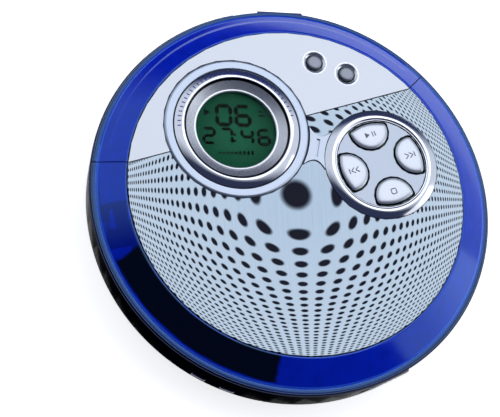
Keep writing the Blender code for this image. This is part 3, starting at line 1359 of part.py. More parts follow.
def bridge_outline(offset):
    """Bridge between bezel and pad: two circle ends and two concave sides, widened by offset."""
    span_x = PAD_X - DISPLAY_X
    span_y = PAD_Y - DISPLAY_Y
    span = math.hypot(span_x, span_y)
    heading = math.atan2(span_y, span_x)
    start_r = BEZEL_R + CLEAR
    end_r = PAD_R + CLEAR
    start_u = math.sqrt(start_r ** 2 - BRIDGE_END_HALF ** 2)
    end_u = span - math.sqrt(end_r ** 2 - BRIDGE_END_HALF ** 2)
    side = []
    for i in range(9):
        share = i / 8
        u = start_u + (end_u - start_u) * share
        side.append((u, BRIDGE_END_HALF - (BRIDGE_END_HALF - BRIDGE_WAIST_HALF) * math.sin(math.pi * share) + offset))
    half = BRIDGE_END_HALF + offset
    if offset > 0:
        start_r -= offset
        end_r -= offset
        side.insert(0, (math.sqrt(start_r ** 2 - half ** 2), half))
        side.append((span - math.sqrt(end_r ** 2 - half ** 2), half))
    start_angle = math.asin(half / start_r)
    end_angle = math.asin(half / end_r)
    points = list(side)
    points += [
        (span + x, y) for x, y in arc((0, 0), end_r, math.pi - end_angle, math.pi + end_angle, 8)[1:-1]
    ]
    points += [(u, -v) for u, v in reversed(side)]
    points += arc((0, 0), start_r, -start_angle, start_angle, 8)[1:-1]
    cosine = math.cos(heading)
    sine = math.sin(heading)
    return [(DISPLAY_X + u * cosine - v * sine, DISPLAY_Y + u * sine + v * cosine) for u, v in points]


def make_bridge():
    """Waisted bridge with a short groove across its middle."""
    foot = LINER_TOP_Z + CLEAR
    top = PLATE_TOP_Z + BRIDGE_RISE
    bridge = outline("console_bridge", [bridge_outline(0)], foot, top)
    span_x = PAD_X - DISPLAY_X
    span_y = PAD_Y - DISPLAY_Y
    heading = math.atan2(span_y, span_x)
    share = (BEZEL_R + (math.hypot(span_x, span_y) - PAD_R)) / 2 / math.hypot(span_x, span_y)
    middle = (DISPLAY_X + span_x * share, DISPLAY_Y + span_y * share)
    low = (-BRIDGE_SLOT_W / 2, -BRIDGE_SLOT_L / 2, top - BRIDGE_SLOT_DEPTH)
    groove = box("bridge_groove", low, (BRIDGE_SLOT_W / 2, BRIDGE_SLOT_L / 2, top + OVERRUN))
    groove.data.transform(Matrix.Translation((*middle, 0)) @ Matrix.Rotation(heading, 4, "Z"))
    turn_by_style(bridge)
    cut(bridge, turn_by_style(groove))
    paint(bridge, (0.72, 0.76, 0.82), 0.35, 0.8)


def leaf_outline(offset):
    """One leaf key facing +X from the pad's centre: two arcs with small rounded corners."""
    outer_r = LEAF_R + offset
    inner_r = LEAF_INNER_R + offset
    fillet = LEAF_ROUND
    near_r = outer_r - fillet
    close_r = inner_r - fillet
    along = (near_r ** 2 - close_r ** 2 + LEAF_CENTRE ** 2) / (2 * LEAF_CENTRE)
    across = math.sqrt(near_r ** 2 - along ** 2)
    outer_angle = math.atan2(across, along)
    inner_angle = math.atan2(across, along - LEAF_CENTRE)
    points = arc((0, 0), outer_r, -outer_angle, outer_angle, 5)
    points += arc((along, across), fillet, outer_angle, inner_angle, 3)[1:-1]
    points += arc((LEAF_CENTRE, 0), inner_r, inner_angle, 2 * math.pi - inner_angle, 9)
    points += arc((along, -across), fillet, -inner_angle, -outer_angle, 3)[1:-1]
    return points


def leaf_keys():
    """Leaf keys by the direction they lie in from the pad's centre, in the turned frame."""
    return [
        ("next_button", 0), ("play_button", math.pi / 2), ("previous_button", math.pi),
        ("stop_button", -math.pi / 2)
    ]


def place_on_pad(obj, turn):
    """Turn an object made about the origin and set it on the pad's centre."""
    x, y = styled(PAD_X, PAD_Y)
    obj.data.transform(Matrix.Translation((x, y, 0)) @ Matrix.Rotation(turn + STYLE_TURN, 4, "Z"))
    return obj


def make_pad():
    """Raised ring, recessed web with four leaf openings, and the four leaf keys."""
    centre = styled(PAD_X, PAD_Y)
    foot = KEY_BOARD_Z + KEY_BOARD_T + CLEAR
    crest = PLATE_TOP_Z + PAD_RISE
    profile = [
        (PAD_INNER_R, crest - CLEAR), (PAD_CREST_R - CLEAR, crest), (PAD_CREST_R, crest),
        ((PAD_CREST_R + PAD_R) / 2, crest - PAD_RISE / 3), (PAD_R, PLATE_TOP_Z), (PAD_R, foot),
        (PAD_R - BOSS_WALL, foot), (PAD_INNER_R, PLATE_UNDER_Z)
    ]
    ring = turned("pad_ring", profile, RING_STEPS, centre, closed=True)
    paint(ring, (0.82, 0.86, 0.90), 0.1, 1.0)
    smooth(ring)
    web_top = crest - PAD_RISE / 2
    web = cylinder("pad_web", PAD_INNER_R - CLEAR, web_top - WEB_T, web_top, centre, RING_STEPS)
    for name, turn in leaf_keys():
        hole = outline(name + "_opening", [leaf_outline(CLEAR)], web_top - WEB_T - OVERRUN, web_top + OVERRUN)
        cut(web, place_on_pad(hole, turn))
        cap = outline(name, [leaf_outline(0)], crest - KEY_CAP_T + KEY_CROWN, crest + KEY_CROWN)
        bevel_edges(cap, KEY_CROWN, 1, 1.0)
        stem_at = (LEAF_CENTRE - LEAF_INNER_R + LEAF_R) / 2
        stem_top = crest - KEY_CAP_T + KEY_CROWN * 2
        join(cap, cylinder(name + "_stem", KEY_STEM_R, KEY_STEM_Z, stem_top, (stem_at, 0), FINE_STEPS))
        place_on_pad(cap, turn)
        paint(cap, (0.72, 0.75, 0.80), 0.4, 0.6)
        smooth(cap)
    paint(web, (0.70, 0.74, 0.80), 0.4, 0.7)


def key_places():
    """Stem places of all six lid keys."""
    reach = (LEAF_CENTRE - LEAF_INNER_R + LEAF_R) / 2
    places = [(PAD_X + reach * math.cos(t), PAD_Y + reach * math.sin(t)) for _, t in leaf_keys()]
    places += [(x, y) for _, x, y in small_keys()]
    return [styled(x, y) for x, y in places]


def make_key_board():
    """Small board under the keys with a dome switch below each stem."""
    top = KEY_BOARD_Z + KEY_BOARD_T
    board = cylinder("key_board", KEY_BOARD_R, KEY_BOARD_Z, top, styled(PAD_X, PAD_Y), RING_STEPS // 2)
    arm_low = (MODE_X - SMALL_DISH_R, PAD_Y + KEY_BOARD_R / 2, KEY_BOARD_Z)
    arm = turn_by_style(box("key_board_arm", arm_low, (PROGRAM_X + SMALL_DISH_R, MODE_Y + SMALL_DISH_R, top)))
    keep_inside(arm, cylinder(
        "key_board_edge", LINER_WALL_R - LINER_WALL_T - CLEAR, KEY_BOARD_Z - OVERRUN, top + OVERRUN, steps=ROUND_STEPS
    ))
    join(board, arm)
    for i, place in enumerate(key_places()):
        join(board, cylinder("key_dome_%d" % i, DOME_R, top - CLEAR, top + DOME_H, place, FINE_STEPS, DOME_R / 2))
    paint(board, (0.02, 0.16, 0.07), 0.5)


def catch_r():
    """Radius of the catch's inner face, just outside the liner's skirt."""
    return LINER_SKIRT_R + CLEAR


def make_catch():
    """Hook under the lid's front edge that drops into a slot of the deck."""
    top = ring_top_z(catch_r() + CATCH_T) - (RING_WALL + CLEAR) * RING_SECANT
    low = CASE_RIM_Z - CATCH_DROP
    half = CATCH_W / 2
    hook = box("lid_catch", (-half, catch_r(), low), (half, catch_r() + CATCH_T, top))
    nose_low = (-half, catch_r() + CATCH_T / 2, low)
    nose_high = (half, catch_r() + CATCH_T + CATCH_NOSE, low + CATCH_NOSE_H)
    join(hook, box("catch_nose", nose_low, nose_high))
    paint(to_wall(hook, OPENER_ANGLE), (0.02, 0.02, 0.03), 0.4)


# Bodies: an empty on each joint axis carries the pieces that move with it

def carry(name, axis_place, nodes, parent=None):
    """Parent nodes to an empty on their joint's axis without moving them."""
    holder = bpy.data.objects.new(name, None)
    holder.location = axis_place
    PARTS.objects.link(holder)
    bpy.context.view_layer.update()
    if parent is not None:
        holder.parent = parent
        holder.matrix_parent_inverse = parent.matrix_world.inverted()
    bpy.context.view_layer.update()
    for node in nodes:
        piece = bpy.data.objects[node]
        piece.parent = holder
        piece.matrix_parent_inverse = holder.matrix_world.inverted()
    return holder


def build_bodies():
    """Group the moving pieces on their axes."""
    lid = carry("lid_axis", (0, HINGE_Y, HINGE_Z), [
        "lid_ring_front", "lid_ring_rear", "lid_liner", "front_plate", "rear_plate", "display_bezel",
        "display_mirror_ring", "display_inner_ring", "display_window", "display_panel", "console_bridge", "pad_ring",
        "pad_web", "key_board", "lid_catch"
    ])
    names = [name for name, _ in leaf_keys()] + [name for name, _, _ in small_keys()]
    for name, place in zip(names, key_places()):
        carry(name + "_axis", (*place, KEY_STEM_Z), [name], lid)
    carry("door_axis", (0, door_axis_y(), door_axis_z()), ["battery_door"])
    carry("spindle_axis", (0, 0, DISC_SEAT_Z), ["turntable", "spindle_shaft"])
    sled = carry("sled_axis", (0, -LENS_REST_R, ROD_Z), ["pickup_sled", "sled_rack"])
    carry("lens_axis", (0, -LENS_REST_R, SLED_TOP_Z), ["lens_holder", "lens"], sled)
    carry("drive_gear_axis", (*drive_gear_place(), SLED_Z), ["drive_gear"])
    carry("pinion_axis", (*sled_motor_place(), SLED_Z), ["motor_pinion"])


clear_scene()
PARTS = new_collection("portable_disc_player")
CUTTERS = new_collection("cutters")
make_bottom_case()
make_deck()
make_feet()
make_battery_door()
make_contacts()
make_main_board()
make_jack("phones_jack", PHONES_ANGLE, JACK_NOSE_R, JACK_BORE_R, False)
make_jack("line_out_jack", LINE_OUT_ANGLE, JACK_NOSE_R, JACK_BORE_R, False)
make_jack("dc_jack", DC_ANGLE, DC_NOSE_R, DC_BORE_R, True)
make_wall_keys()
make_slider("hold_slider", HOLD_ANGLE, SLIDER_W, SLIDER_H, SLIDER_TRAVEL, WALL_KEY_Z)
make_slider("open_slider", OPENER_ANGLE, OPENER_W, OPENER_H, OPENER_TRAVEL, OPENER_Z)
make_chassis()
make_dampers()
make_spindle()
make_sled()
make_gear_train()
make_ring()
make_hinge_pin()
make_liner()
make_plates()
make_small_keys()
make_display()
make_bridge()
make_pad()
make_key_board()
make_catch()
build_bodies()
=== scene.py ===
import math

import bmesh
import bpy
import numpy as np
from mathutils import Matrix, Vector


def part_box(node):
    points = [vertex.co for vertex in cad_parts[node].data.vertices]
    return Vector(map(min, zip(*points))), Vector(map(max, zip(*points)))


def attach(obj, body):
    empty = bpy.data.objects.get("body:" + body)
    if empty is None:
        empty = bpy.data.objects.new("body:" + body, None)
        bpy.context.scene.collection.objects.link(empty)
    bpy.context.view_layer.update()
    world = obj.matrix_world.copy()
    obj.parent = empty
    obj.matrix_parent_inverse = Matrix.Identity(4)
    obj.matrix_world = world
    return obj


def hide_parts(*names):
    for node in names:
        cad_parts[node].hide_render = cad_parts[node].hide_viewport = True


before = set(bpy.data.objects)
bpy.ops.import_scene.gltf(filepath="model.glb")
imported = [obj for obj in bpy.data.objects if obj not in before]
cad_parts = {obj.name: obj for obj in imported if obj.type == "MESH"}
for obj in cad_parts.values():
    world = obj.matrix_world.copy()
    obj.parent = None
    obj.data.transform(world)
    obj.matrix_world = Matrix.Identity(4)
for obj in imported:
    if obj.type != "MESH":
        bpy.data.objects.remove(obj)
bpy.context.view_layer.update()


# Camera at the photograph's angle, above and to the left of the player's front.
# It is aimed through the middle of the picture, so the lens needs no shift.
azimuth = math.radians(-36.23)
elevation = math.radians(63.85)
roll = math.radians(35.02)
distance = 0.68864
focal_px = 2046.6
centre_px = (289.28, 202.73)
picture_px = (500, 417)
sensor_mm = 36
back = Vector((
    math.sin(azimuth) * math.cos(elevation), -math.cos(azimuth) * math.cos(elevation), math.sin(elevation)
))
level_right = (-back).cross(Vector((0, 0, 1))).normalized()
level_up = level_right.cross(-back)
right = math.cos(roll) * level_right + math.sin(roll) * level_up
up = -math.sin(roll) * level_right + math.cos(roll) * level_up
off_x, off_y = ((whole / 2 - at) / focal_px for whole, at in zip(picture_px, centre_px))
aim = -back + off_x * right - off_y * up
aim.normalize()
side = aim.cross(up).normalized()
over = side.cross(aim)
lens = bpy.data.cameras.new("photo_lens")
lens.sensor_fit = "HORIZONTAL"
lens.sensor_width = sensor_mm
lens.lens = focal_px * sensor_mm / picture_px[0]
lens.clip_start = 0.05
camera = bpy.data.objects.new("photo_camera", lens)
bpy.context.scene.collection.objects.link(camera)
pose = Matrix((side, over, -aim)).transposed().to_4x4()
pose.translation = Vector((0, 0, 0.015)) + back * distance
camera.matrix_world = pose
bpy.context.scene.camera = camera
bpy.context.scene.view_settings.view_transform = "Standard"


# Studio: a plain white floor that lifts its own shade, a large softbox behind and above, a lower
# one on the right, and a sky that is bright in a band across and dark in front and behind.
# The camera itself sees a plain pale backdrop in place of that sky.
floor_mesh = bpy.data.meshes.new("studio_floor")
floor_mesh.from_pydata([(-3, -3, 0), (3, -3, 0), (3, 3, 0), (-3, 3, 0)], [], [(0, 1, 2, 3)])
floor = bpy.data.objects.new("studio_floor", floor_mesh)
bpy.context.scene.collection.objects.link(floor)
floor_look = bpy.data.materials.new("studio_floor")
floor_look.use_nodes = True
floor_shader = floor_look.node_tree.nodes["Principled BSDF"]
floor_shader.inputs["Base Color"].default_value = (0.97, 0.97, 0.97, 1)
floor_shader.inputs["Roughness"].default_value = 0.9
floor_shader.inputs["Specular IOR Level"].default_value = 0.0
floor_shader.inputs["Emission Color"].default_value = (1, 1, 1, 1)
floor_place = floor_look.node_tree.nodes.new("ShaderNodeTexCoord")
floor_reach = floor_look.node_tree.nodes.new("ShaderNodeVectorMath")
floor_reach.operation = "LENGTH"
floor_fade = floor_look.node_tree.nodes.new("ShaderNodeMapRange")
floor_fade.inputs["From Min"].default_value = 0.4
floor_fade.inputs["From Max"].default_value = 1.5
floor_fade.inputs["To Min"].default_value = 0.80
floor_fade.inputs["To Max"].default_value = 0.35
floor_look.node_tree.links.new(floor_place.outputs["Object"], floor_reach.inputs[0])
floor_look.node_tree.links.new(floor_reach.outputs["Value"], floor_fade.inputs["Value"])
floor_look.node_tree.links.new(floor_fade.outputs["Result"], floor_shader.inputs["Emission Strength"])
floor_mesh.materials.append(floor_look)
sky = bpy.data.worlds.new("studio_sky")
sky.use_nodes = True
sky_nodes = sky.node_tree.nodes
sky_links = sky.node_tree.links
sky_place = sky_nodes.new("ShaderNodeTexCoord")
sky_along = sky_nodes.new("ShaderNodeVectorMath")
sky_along.operation = "DOT_PRODUCT"
sky_along.inputs[1].default_value = (0.104, 0.489, 0.0)
sky_share = sky_nodes.new("ShaderNodeMath")
sky_share.operation = "ADD"
sky_share.inputs[1].default_value = 0.5
sky_band = sky_nodes.new("ShaderNodeValToRGB")
sky_dark = (0.030, 0.038, 0.080)
for i, (place, colour) in enumerate((
    (0.0, sky_dark), (0.43, sky_dark), (0.57, (0.74, 0.79, 0.86)),
    (0.83, (0.70, 0.76, 0.84)), (0.92, (0.030, 0.042, 0.110)), (1.0, sky_dark)
)):
    element = sky_band.color_ramp.elements[i] if i < 2 else sky_band.color_ramp.elements.new(place)
    element.position = place
    element.color = (*colour, 1)
sky_links.new(sky_place.outputs["Generated"], sky_along.inputs[0])
sky_links.new(sky_along.outputs["Value"], sky_share.inputs[0])
sky_links.new(sky_share.outputs["Value"], sky_band.inputs["Fac"])
sky_backdrop = sky_nodes.new("ShaderNodeMix")
sky_backdrop.data_type = "RGBA"
sky_backdrop.inputs["B"].default_value = (0.86, 0.88, 0.90, 1)
sky_eye = sky_nodes.new("ShaderNodeLightPath")
sky_links.new(sky_band.outputs["Color"], sky_backdrop.inputs["A"])
sky_links.new(sky_eye.outputs["Is Camera Ray"], sky_backdrop.inputs["Factor"])
sky_links.new(sky_backdrop.outputs["Result"], sky_nodes["Background"].inputs["Color"])
bpy.context.scene.world = sky
lamp_reach = 0.9
for light_name, toward, light_size, light_power in (
    ("softbox_back", (0.26, 0.42, 0.87), 0.70, 1.5), ("softbox_right", (0.89, -0.22, 0.41), 0.60, 1.1)
):
    lamp = bpy.data.lights.new(light_name, "AREA")
    lamp.size = light_size
    lamp.energy = light_power
    lamp_object = bpy.data.objects.new(light_name, lamp)
    lamp_object.location = Vector(toward).normalized() * lamp_reach
    lamp_object.rotation_euler = Vector(toward).to_track_quat("Z", "Y").to_euler()
    bpy.context.scene.collection.objects.link(lamp_object)


# Base casing and battery door: blue-black moulded plastic with a faint orange-peel skin, its glare
# at flat angles held down by a black edge tint. The door snaps into the floor on two pins.
def finish(
    name, colour, roughness, metallic=0.0, grain=0.0006, spread=0.12, relief=0.00001, stretch=(1, 1, 1)
):
    """Principled look whose colour and roughness drift by the share spread with a noise of
    the given grain in metres, stretched along the axes, and whose skin stands up by relief."""
    look = bpy.data.materials.new(name)
    look.use_nodes = True
    nodes = look.node_tree.nodes
    links = look.node_tree.links
    shader = nodes["Principled BSDF"]
    shader.inputs["Metallic"].default_value = metallic
    place = nodes.new("ShaderNodeTexCoord")
    mapping = nodes.new("ShaderNodeMapping")
    mapping.inputs["Scale"].default_value = [1 / (grain * s) for s in stretch]
    noise = nodes.new("ShaderNodeTexNoise")
    noise.name = "grain"
    noise.inputs["Scale"].default_value = 1.0
    noise.inputs["Detail"].default_value = 3.0
    blend = nodes.new("ShaderNodeMix")
    blend.name = "tone"
    blend.data_type = "RGBA"
    blend.inputs["A"].default_value = (*[c * (1 - spread) for c in colour], 1)
    blend.inputs["B"].default_value = (*[min(1, c * (1 + spread)) for c in colour], 1)
    rough = nodes.new("ShaderNodeMapRange")
    rough.inputs["To Min"].default_value = roughness * (1 - spread)
    rough.inputs["To Max"].default_value = roughness * (1 + spread)
    bump = nodes.new("ShaderNodeBump")
    bump.inputs["Distance"].default_value = relief
    links.new(place.outputs["Object"], mapping.inputs["Vector"])
    links.new(mapping.outputs["Vector"], noise.inputs["Vector"])
    links.new(noise.outputs["Fac"], blend.inputs["Factor"])
    links.new(noise.outputs["Fac"], rough.inputs["Value"])
    links.new(noise.outputs["Fac"], bump.inputs["Height"])
    links.new(blend.outputs["Result"], shader.inputs["Base Color"])
    links.new(rough.outputs["Result"], shader.inputs["Roughness"])
    links.new(bump.outputs["Normal"], shader.inputs["Normal"])
    return look


def dress(look, *node_names):
    """Give a finish to every material slot of these CAD nodes."""
    for node_name in node_names:
        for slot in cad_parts[node_name].material_slots:
            slot.material = look


case_look = finish("case_gloss", (0.022, 0.026, 0.050), 0.22, 1.0, 0.0009, 0.15, 0.000003)
case_look.node_tree.nodes["Principled BSDF"].inputs["Specular Tint"].default_value = (0, 0, 0, 1)
dress(finish("door_satin", (0.010, 0.012, 0.026), 0.30, 0.0, 0.0005, 0.15, 0.00001), "battery_door")


def rounded(name, node_name, least, facets):
    """Copy of a turned CAD part, cut by upright planes through the axis into four strips a facet
    and pushed out to the true circle: a point at the angle t is scaled by
    cos(t - middle of its facet) / cos(half a facet)."""
    shape = bmesh.new()
    shape.from_mesh(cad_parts[node_name].data)
    bmesh.ops.remove_doubles(shape, verts=shape.verts, dist=0.000002)
    step = 2 * math.pi / facets
    for cut in range(2 * facets):
        if cut % 4:
            turn = cut * step / 4
            outer = [f for f in shape.faces if min(math.hypot(v.co.x, v.co.y) for v in f.verts) > least]
            edges = {e for f in outer for e in f.edges}
            verts = {v for f in outer for v in f.verts}
            bmesh.ops.bisect_plane(
                shape, geom=[*verts, *edges, *outer], dist=0.0000005, plane_co=(0, 0, 0),
                plane_no=(-math.sin(turn), math.cos(turn), 0)
            )
    mesh = bpy.data.meshes.new(name)
    shape.to_mesh(mesh)
    points = np.empty(3 * len(mesh.vertices), dtype=np.float32)
    mesh.vertices.foreach_get("co", points)
    points = points.reshape(-1, 3).astype(float)
    angle = np.arctan2(points[:, 1], points[:, 0])
    off = angle - (np.floor(angle / step + 0.000001) + 0.5) * step
    outside = np.hypot(points[:, 0], points[:, 1]) > least
    points[:, :2] *= np.where(outside, np.cos(off) / math.cos(step / 2), 1)[:, None]
    mesh.vertices.foreach_set("co", points.astype(np.float32).ravel())
    shape.clear()
    shape.from_mesh(mesh)
    bmesh.ops.triangulate(shape, faces=[f for f in shape.faces if len(f.verts) > 3])
    shape.to_mesh(mesh)
    shape.free()
    mesh.shade_smooth()
    mesh.set_sharp_from_angle(angle=math.radians(24))
    piece = bpy.data.objects.new(name, mesh)
    bpy.context.scene.collection.objects.link(piece)
    return piece


case_shell = rounded("bottom_case_shell", "bottom_case", 0.0600, 48)
case_shell.data.materials.append(case_look)
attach(case_shell, "base")
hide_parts("bottom_case")


# Case screws: four plated pan heads with a cross recess, sunk in the floor's counterbores.
# They come up from below and draw the casing and the deck together.
def skin(name, loops, round_trip=False):
    """Closed surface through equal closed loops of points, with quads from each loop to the
    next. On a round trip the last loop joins the first; otherwise a flat face closes each end."""
    loops = np.asarray(loops, dtype=float)
    rows, width = loops.shape[:2]
    index = np.arange(rows * width).reshape(rows, width)
    ahead = np.roll(index, -1, axis=0)
    last = rows if round_trip else rows - 1
    corners = [index, np.roll(index, -1, axis=1), np.roll(ahead, -1, axis=1), ahead]
    faces = np.stack([c[:last] for c in corners], axis=-1).reshape(-1, 4).tolist()
    if not round_trip:
        faces.append(index[0][::-1].tolist())
        faces.append(index[-1].tolist())
    mesh = bpy.data.meshes.new(name)
    mesh.from_pydata(loops.reshape(-1, 3).tolist(), [], faces)
    shape = bmesh.new()
    shape.from_mesh(mesh)
    bmesh.ops.recalc_face_normals(shape, faces=shape.faces)
    shape.to_mesh(mesh)
    shape.free()
    mesh.shade_smooth()
    mesh.set_sharp_from_angle(angle=math.radians(38))
    piece = bpy.data.objects.new(name, mesh)
    bpy.context.scene.collection.objects.link(piece)
    return piece


def screw_head(name, x, y, low, radius, rise):
    """Round head seen from below: the face is z = low + rise (r / radius)^2, cut by a cross
    whose depth is 0.5 mm inside the arms' width; a flat disc closes it above."""
    turns = np.linspace(0, 2 * math.pi, 96, endpoint=False)
    reach = np.linspace(0.02, 1, 26)[:, None] * radius
    east = reach * np.cos(turns)
    north = reach * np.sin(turns)
    near = np.minimum(np.abs(east), np.abs(north))
    arm = np.clip((0.00034 - near) / 0.00007, 0, 1) * np.clip((0.00125 - reach) / 0.0002, 0, 1)
    face = low + rise * (reach / radius) ** 2 + 0.0005 * arm
    closing = np.full(len(turns), low + rise + 0.0006)
    flank = np.stack([radius * np.cos(turns), radius * np.sin(turns), closing], axis=-1)
    loops = np.concatenate([np.stack([east, north, face], axis=-1), flank[None]])
    loops[..., 0] += x
    loops[..., 1] += y
    return skin(name, loops)


screw_look = finish("screw_plated", (0.50, 0.50, 0.52), 0.26, 1.0, 0.0003, 0.15, 0.000004)
for i, (x, y) in enumerate(((-0.051, 0.010), (0.051, 0.010), (-0.046, -0.030), (0.046, -0.030)), 1):
    screw = screw_head("case_screw_%d" % i, x, y, 0.0011, 0.0022, 0.0002)
    screw.data.materials.append(screw_look)
    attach(screw, "base")


# Deck: matte black moulding with a fine grain, which closes the base and forms the disc well.
# The case screws hold it down from below.
dress(finish("deck_matte", (0.040, 0.043, 0.052), 0.48, 0.0, 0.00035, 0.25, 0.00002), "deck")


# Rubber feet and the four mechanism dampers: matte black rubber with a little bloom.
# All are pressed into moulded seats.
dress(
    finish("foot_rubber", (0.020, 0.020, 0.021), 0.75, 0.0, 0.0004, 0.3, 0.00003),
    "rubber_foot_1", "rubber_foot_2", "rubber_foot_3", "rubber_foot_4",
    "chassis_damper_1", "chassis_damper_2", "chassis_damper_3", "chassis_damper_4"
)


# Battery contacts: nickel-plated spring sheet, rubbed brighter where the cells touch.
# They are pressed in at the two ends of the battery bay.
dress(
    finish("contact_nickel", (0.66, 0.64, 0.58), 0.25, 1.0, 0.0006, 0.2, 0.00001),
    "battery_contact_link", "battery_contact_plus", "battery_contact_minus"
)


# Boards in the base and the lid, glass fibre under green solder mask, with the resin packages
# and the black moulded sockets that are soldered to them.
dress(
    finish("solder_mask", (0.012, 0.13, 0.05), 0.32, 0.0, 0.0012, 0.35, 0.00001),
    "main_board", "key_board"
)
dress(
    finish("chip_resin", (0.018, 0.018, 0.020), 0.55, 0.0, 0.0003, 0.3, 0.00001),
    "servo_chip", "memory_chip"
)
dress(
    finish("socket_black", (0.014, 0.014, 0.016), 0.38, 0.0, 0.0004, 0.2, 0.00001),
    "phones_jack", "line_out_jack", "dc_jack"
)


# Keys and sliders in the base's wall: navy gloss keys and satin grey sliders with ribbed faces.
# They are moulded pieces, held in their openings from inside.
dress(
    finish("wall_key_navy", (0.008, 0.012, 0.060), 0.20, 0.0, 0.0005, 0.15, 0.00001),
    "volume_down_key", "volume_up_key", "bass_key"
)
dress(
    finish("slider_grey", (0.30, 0.31, 0.34), 0.38, 0.4, 0.0003, 0.15, 0.00001),
    "hold_slider", "open_slider"
)


# Mechanism: plated sheet chassis, ground rods and shaft, drawn motor cans, black moulded sled,
# natural white gears and a cut brass pinion. The chassis floats on its rubber dampers.
dress(
    finish("chassis_plate", (0.42, 0.43, 0.45), 0.34, 1.0, 0.0004, 0.15, 0.00001, (1, 6, 1)),
    "mechanism_chassis"
)
dress(
    finish("ground_steel", (0.72, 0.72, 0.74), 0.14, 1.0, 0.0003, 0.1, 0.000003, (1, 1, 4)),
    "guide_rod_left", "guide_rod_right", "spindle_shaft", "hinge_pin"
)
dress(
    finish("motor_can", (0.58, 0.58, 0.60), 0.28, 1.0, 0.0005, 0.12, 0.000005, (4, 4, 1)),
    "spindle_motor", "sled_motor"
)
dress(
    finish("sled_black", (0.028, 0.028, 0.032), 0.42, 0.0, 0.0004, 0.25, 0.00002),
    "pickup_sled", "lens_holder"
)
dress(finish("turntable_black", (0.020, 0.020, 0.023), 0.36, 0.0, 0.0004, 0.2, 0.00001), "turntable")
dress(
    finish("acetal_white", (0.78, 0.77, 0.72), 0.36, 0.0, 0.0006, 0.06, 0.00001),
    "sled_rack", "drive_gear"
)
dress(finish("pinion_brass", (0.62, 0.46, 0.18), 0.26, 1.0, 0.0004, 0.12, 0.00001), "motor_pinion")
lens_look = finish("lens_coated", (0.20, 0.10, 0.42), 0.04, 0.0, 0.0010, 0.35, 0.000001)
lens_look.node_tree.nodes["Principled BSDF"].inputs["Coat Weight"].default_value = 1.0
dress(lens_look, "lens")


# Lid liner and catch: dark moulded plastic under the translucent ring, matte with a fine grain.
# The liner closes the lid from inside, and the catch hooks the lid down at the front.
dress(
    finish("liner_matte", (0.036, 0.040, 0.066), 0.42, 0.0, 0.0004, 0.2, 0.00001),
    "lid_liner", "lid_catch"
)


# Lid ring: translucent cobalt plastic, moulded in a front and a rear piece that meet at the
# chord's ends. Its colour holds painted shade: a near-black zone and dark patches at the front
# left stand for the shaded inside seen through the clear plastic. It also holds a painted
# highlight along the crest and painted shade on the outer flange.
def calc(tree, kind, *values):
    """Result of one Math node on the given numbers or sockets."""
    node = tree.nodes.new("ShaderNodeMath")
    node.operation = kind
    for i, value in enumerate(values):
        if isinstance(value, (int, float)):
            node.inputs[i].default_value = value
        else:
            tree.links.new(value, node.inputs[i])
    return node.outputs[0]


def between(tree, value, low, high, soft):
    """1 where the value lies between low and high, falling smoothly to 0 over the width soft."""
    sides = []
    for edge, sign in ((low, 1), (high, -1)):
        step = tree.nodes.new("ShaderNodeMapRange")
        step.interpolation_type = "SMOOTHSTEP"
        tree.links.new(value, step.inputs["Value"])
        step.inputs["From Min"].default_value = edge - soft / 2
        step.inputs["From Max"].default_value = edge + soft / 2
        step.inputs["To Min"].default_value = 0 if sign > 0 else 1
        step.inputs["To Max"].default_value = 1 if sign > 0 else 0
        sides.append(step.outputs["Result"])
    return calc(tree, "MULTIPLY", *sides)


def polar(tree, x, y):
    """Radius in millimetres and angle in degrees of object points about an upright axis."""
    place = tree.nodes.new("ShaderNodeTexCoord")
    parts = tree.nodes.new("ShaderNodeSeparateXYZ")
    tree.links.new(place.outputs["Object"], parts.inputs["Vector"])
    east = calc(tree, "SUBTRACT", parts.outputs["X"], x)
    north = calc(tree, "SUBTRACT", parts.outputs["Y"], y)
    square = calc(tree, "ADD", calc(tree, "MULTIPLY", east, east), calc(tree, "MULTIPLY", north, north))
    radius = calc(tree, "MULTIPLY", calc(tree, "SQRT", square), 1000)
    angle = calc(tree, "MULTIPLY", calc(tree, "ARCTAN2", north, east), 180 / math.pi)
    return radius, angle, east, north


def tint(tree, base, colour, share):
    """Mix of a colour socket and a fixed colour by a share socket."""
    node = tree.nodes.new("ShaderNodeMix")
    node.data_type = "RGBA"
    tree.links.new(base, node.inputs["A"])
    node.inputs["B"].default_value = (*colour, 1)
    tree.links.new(share, node.inputs["Factor"])
    return node.outputs["Result"]


style_turn = math.radians(17.3)
lid_edge = 0.0199
plate_top = 0.02686
ring_in = 0.0577
ring_out = 0.0684
crest_r = 0.0668
crest_z = 0.0209
crest_round = 0.0003
lip_z = 0.0206
chord_y = 0.0243
chord_end = 0.0516
seam_rise = 0.575
ledge_half = 59.5
ledge_r = 0.0637
ledge_depth = 0.00022
ring_fall = (plate_top - crest_z) / (crest_r - ring_in)
wall_drop = 0.0016 * math.sqrt(1 + ring_fall ** 2)
upper = []
for share in np.linspace(0, 1, 25):
    r = ring_in + (crest_r - crest_round - ring_in) * share
    z = plate_top - ring_fall * (r - ring_in) + 0.00008 * math.sin(math.pi * share)
    upper.append((r, z - 0.0004 * max(0, 1 - share * 12) ** 2))
for turn in np.linspace(0.2, 1, 5):
    upper.append((
        crest_r - crest_round + crest_round * math.sin(turn * 1.57),
        crest_z - crest_round + 0.00036 * math.cos(turn * 1.57)
    ))
upper += [(0.0672, lip_z), (0.0679, lip_z), (0.0683, lip_z - 0.0001), (ring_out, lip_z - 0.00025)]
inner_low_r = ring_in + (plate_top - wall_drop - lid_edge) / ring_fall
under = [(ring_out, lid_edge), (inner_low_r, lid_edge), (ring_in, plate_top - wall_drop)]
ring_line = np.array(upper + under)


def seam_angle(radius, gap):
    """Angle at which the ring's seam, a line that rises outwards from the chord's end, meets a
    radius; the gap shifts the line, in metres."""
    x = radius
    for _ in range(40):
        y = chord_y + gap + seam_rise * max(0.0, x - chord_end)
        x = math.sqrt(radius ** 2 - y ** 2)
    return math.atan2(y, x)


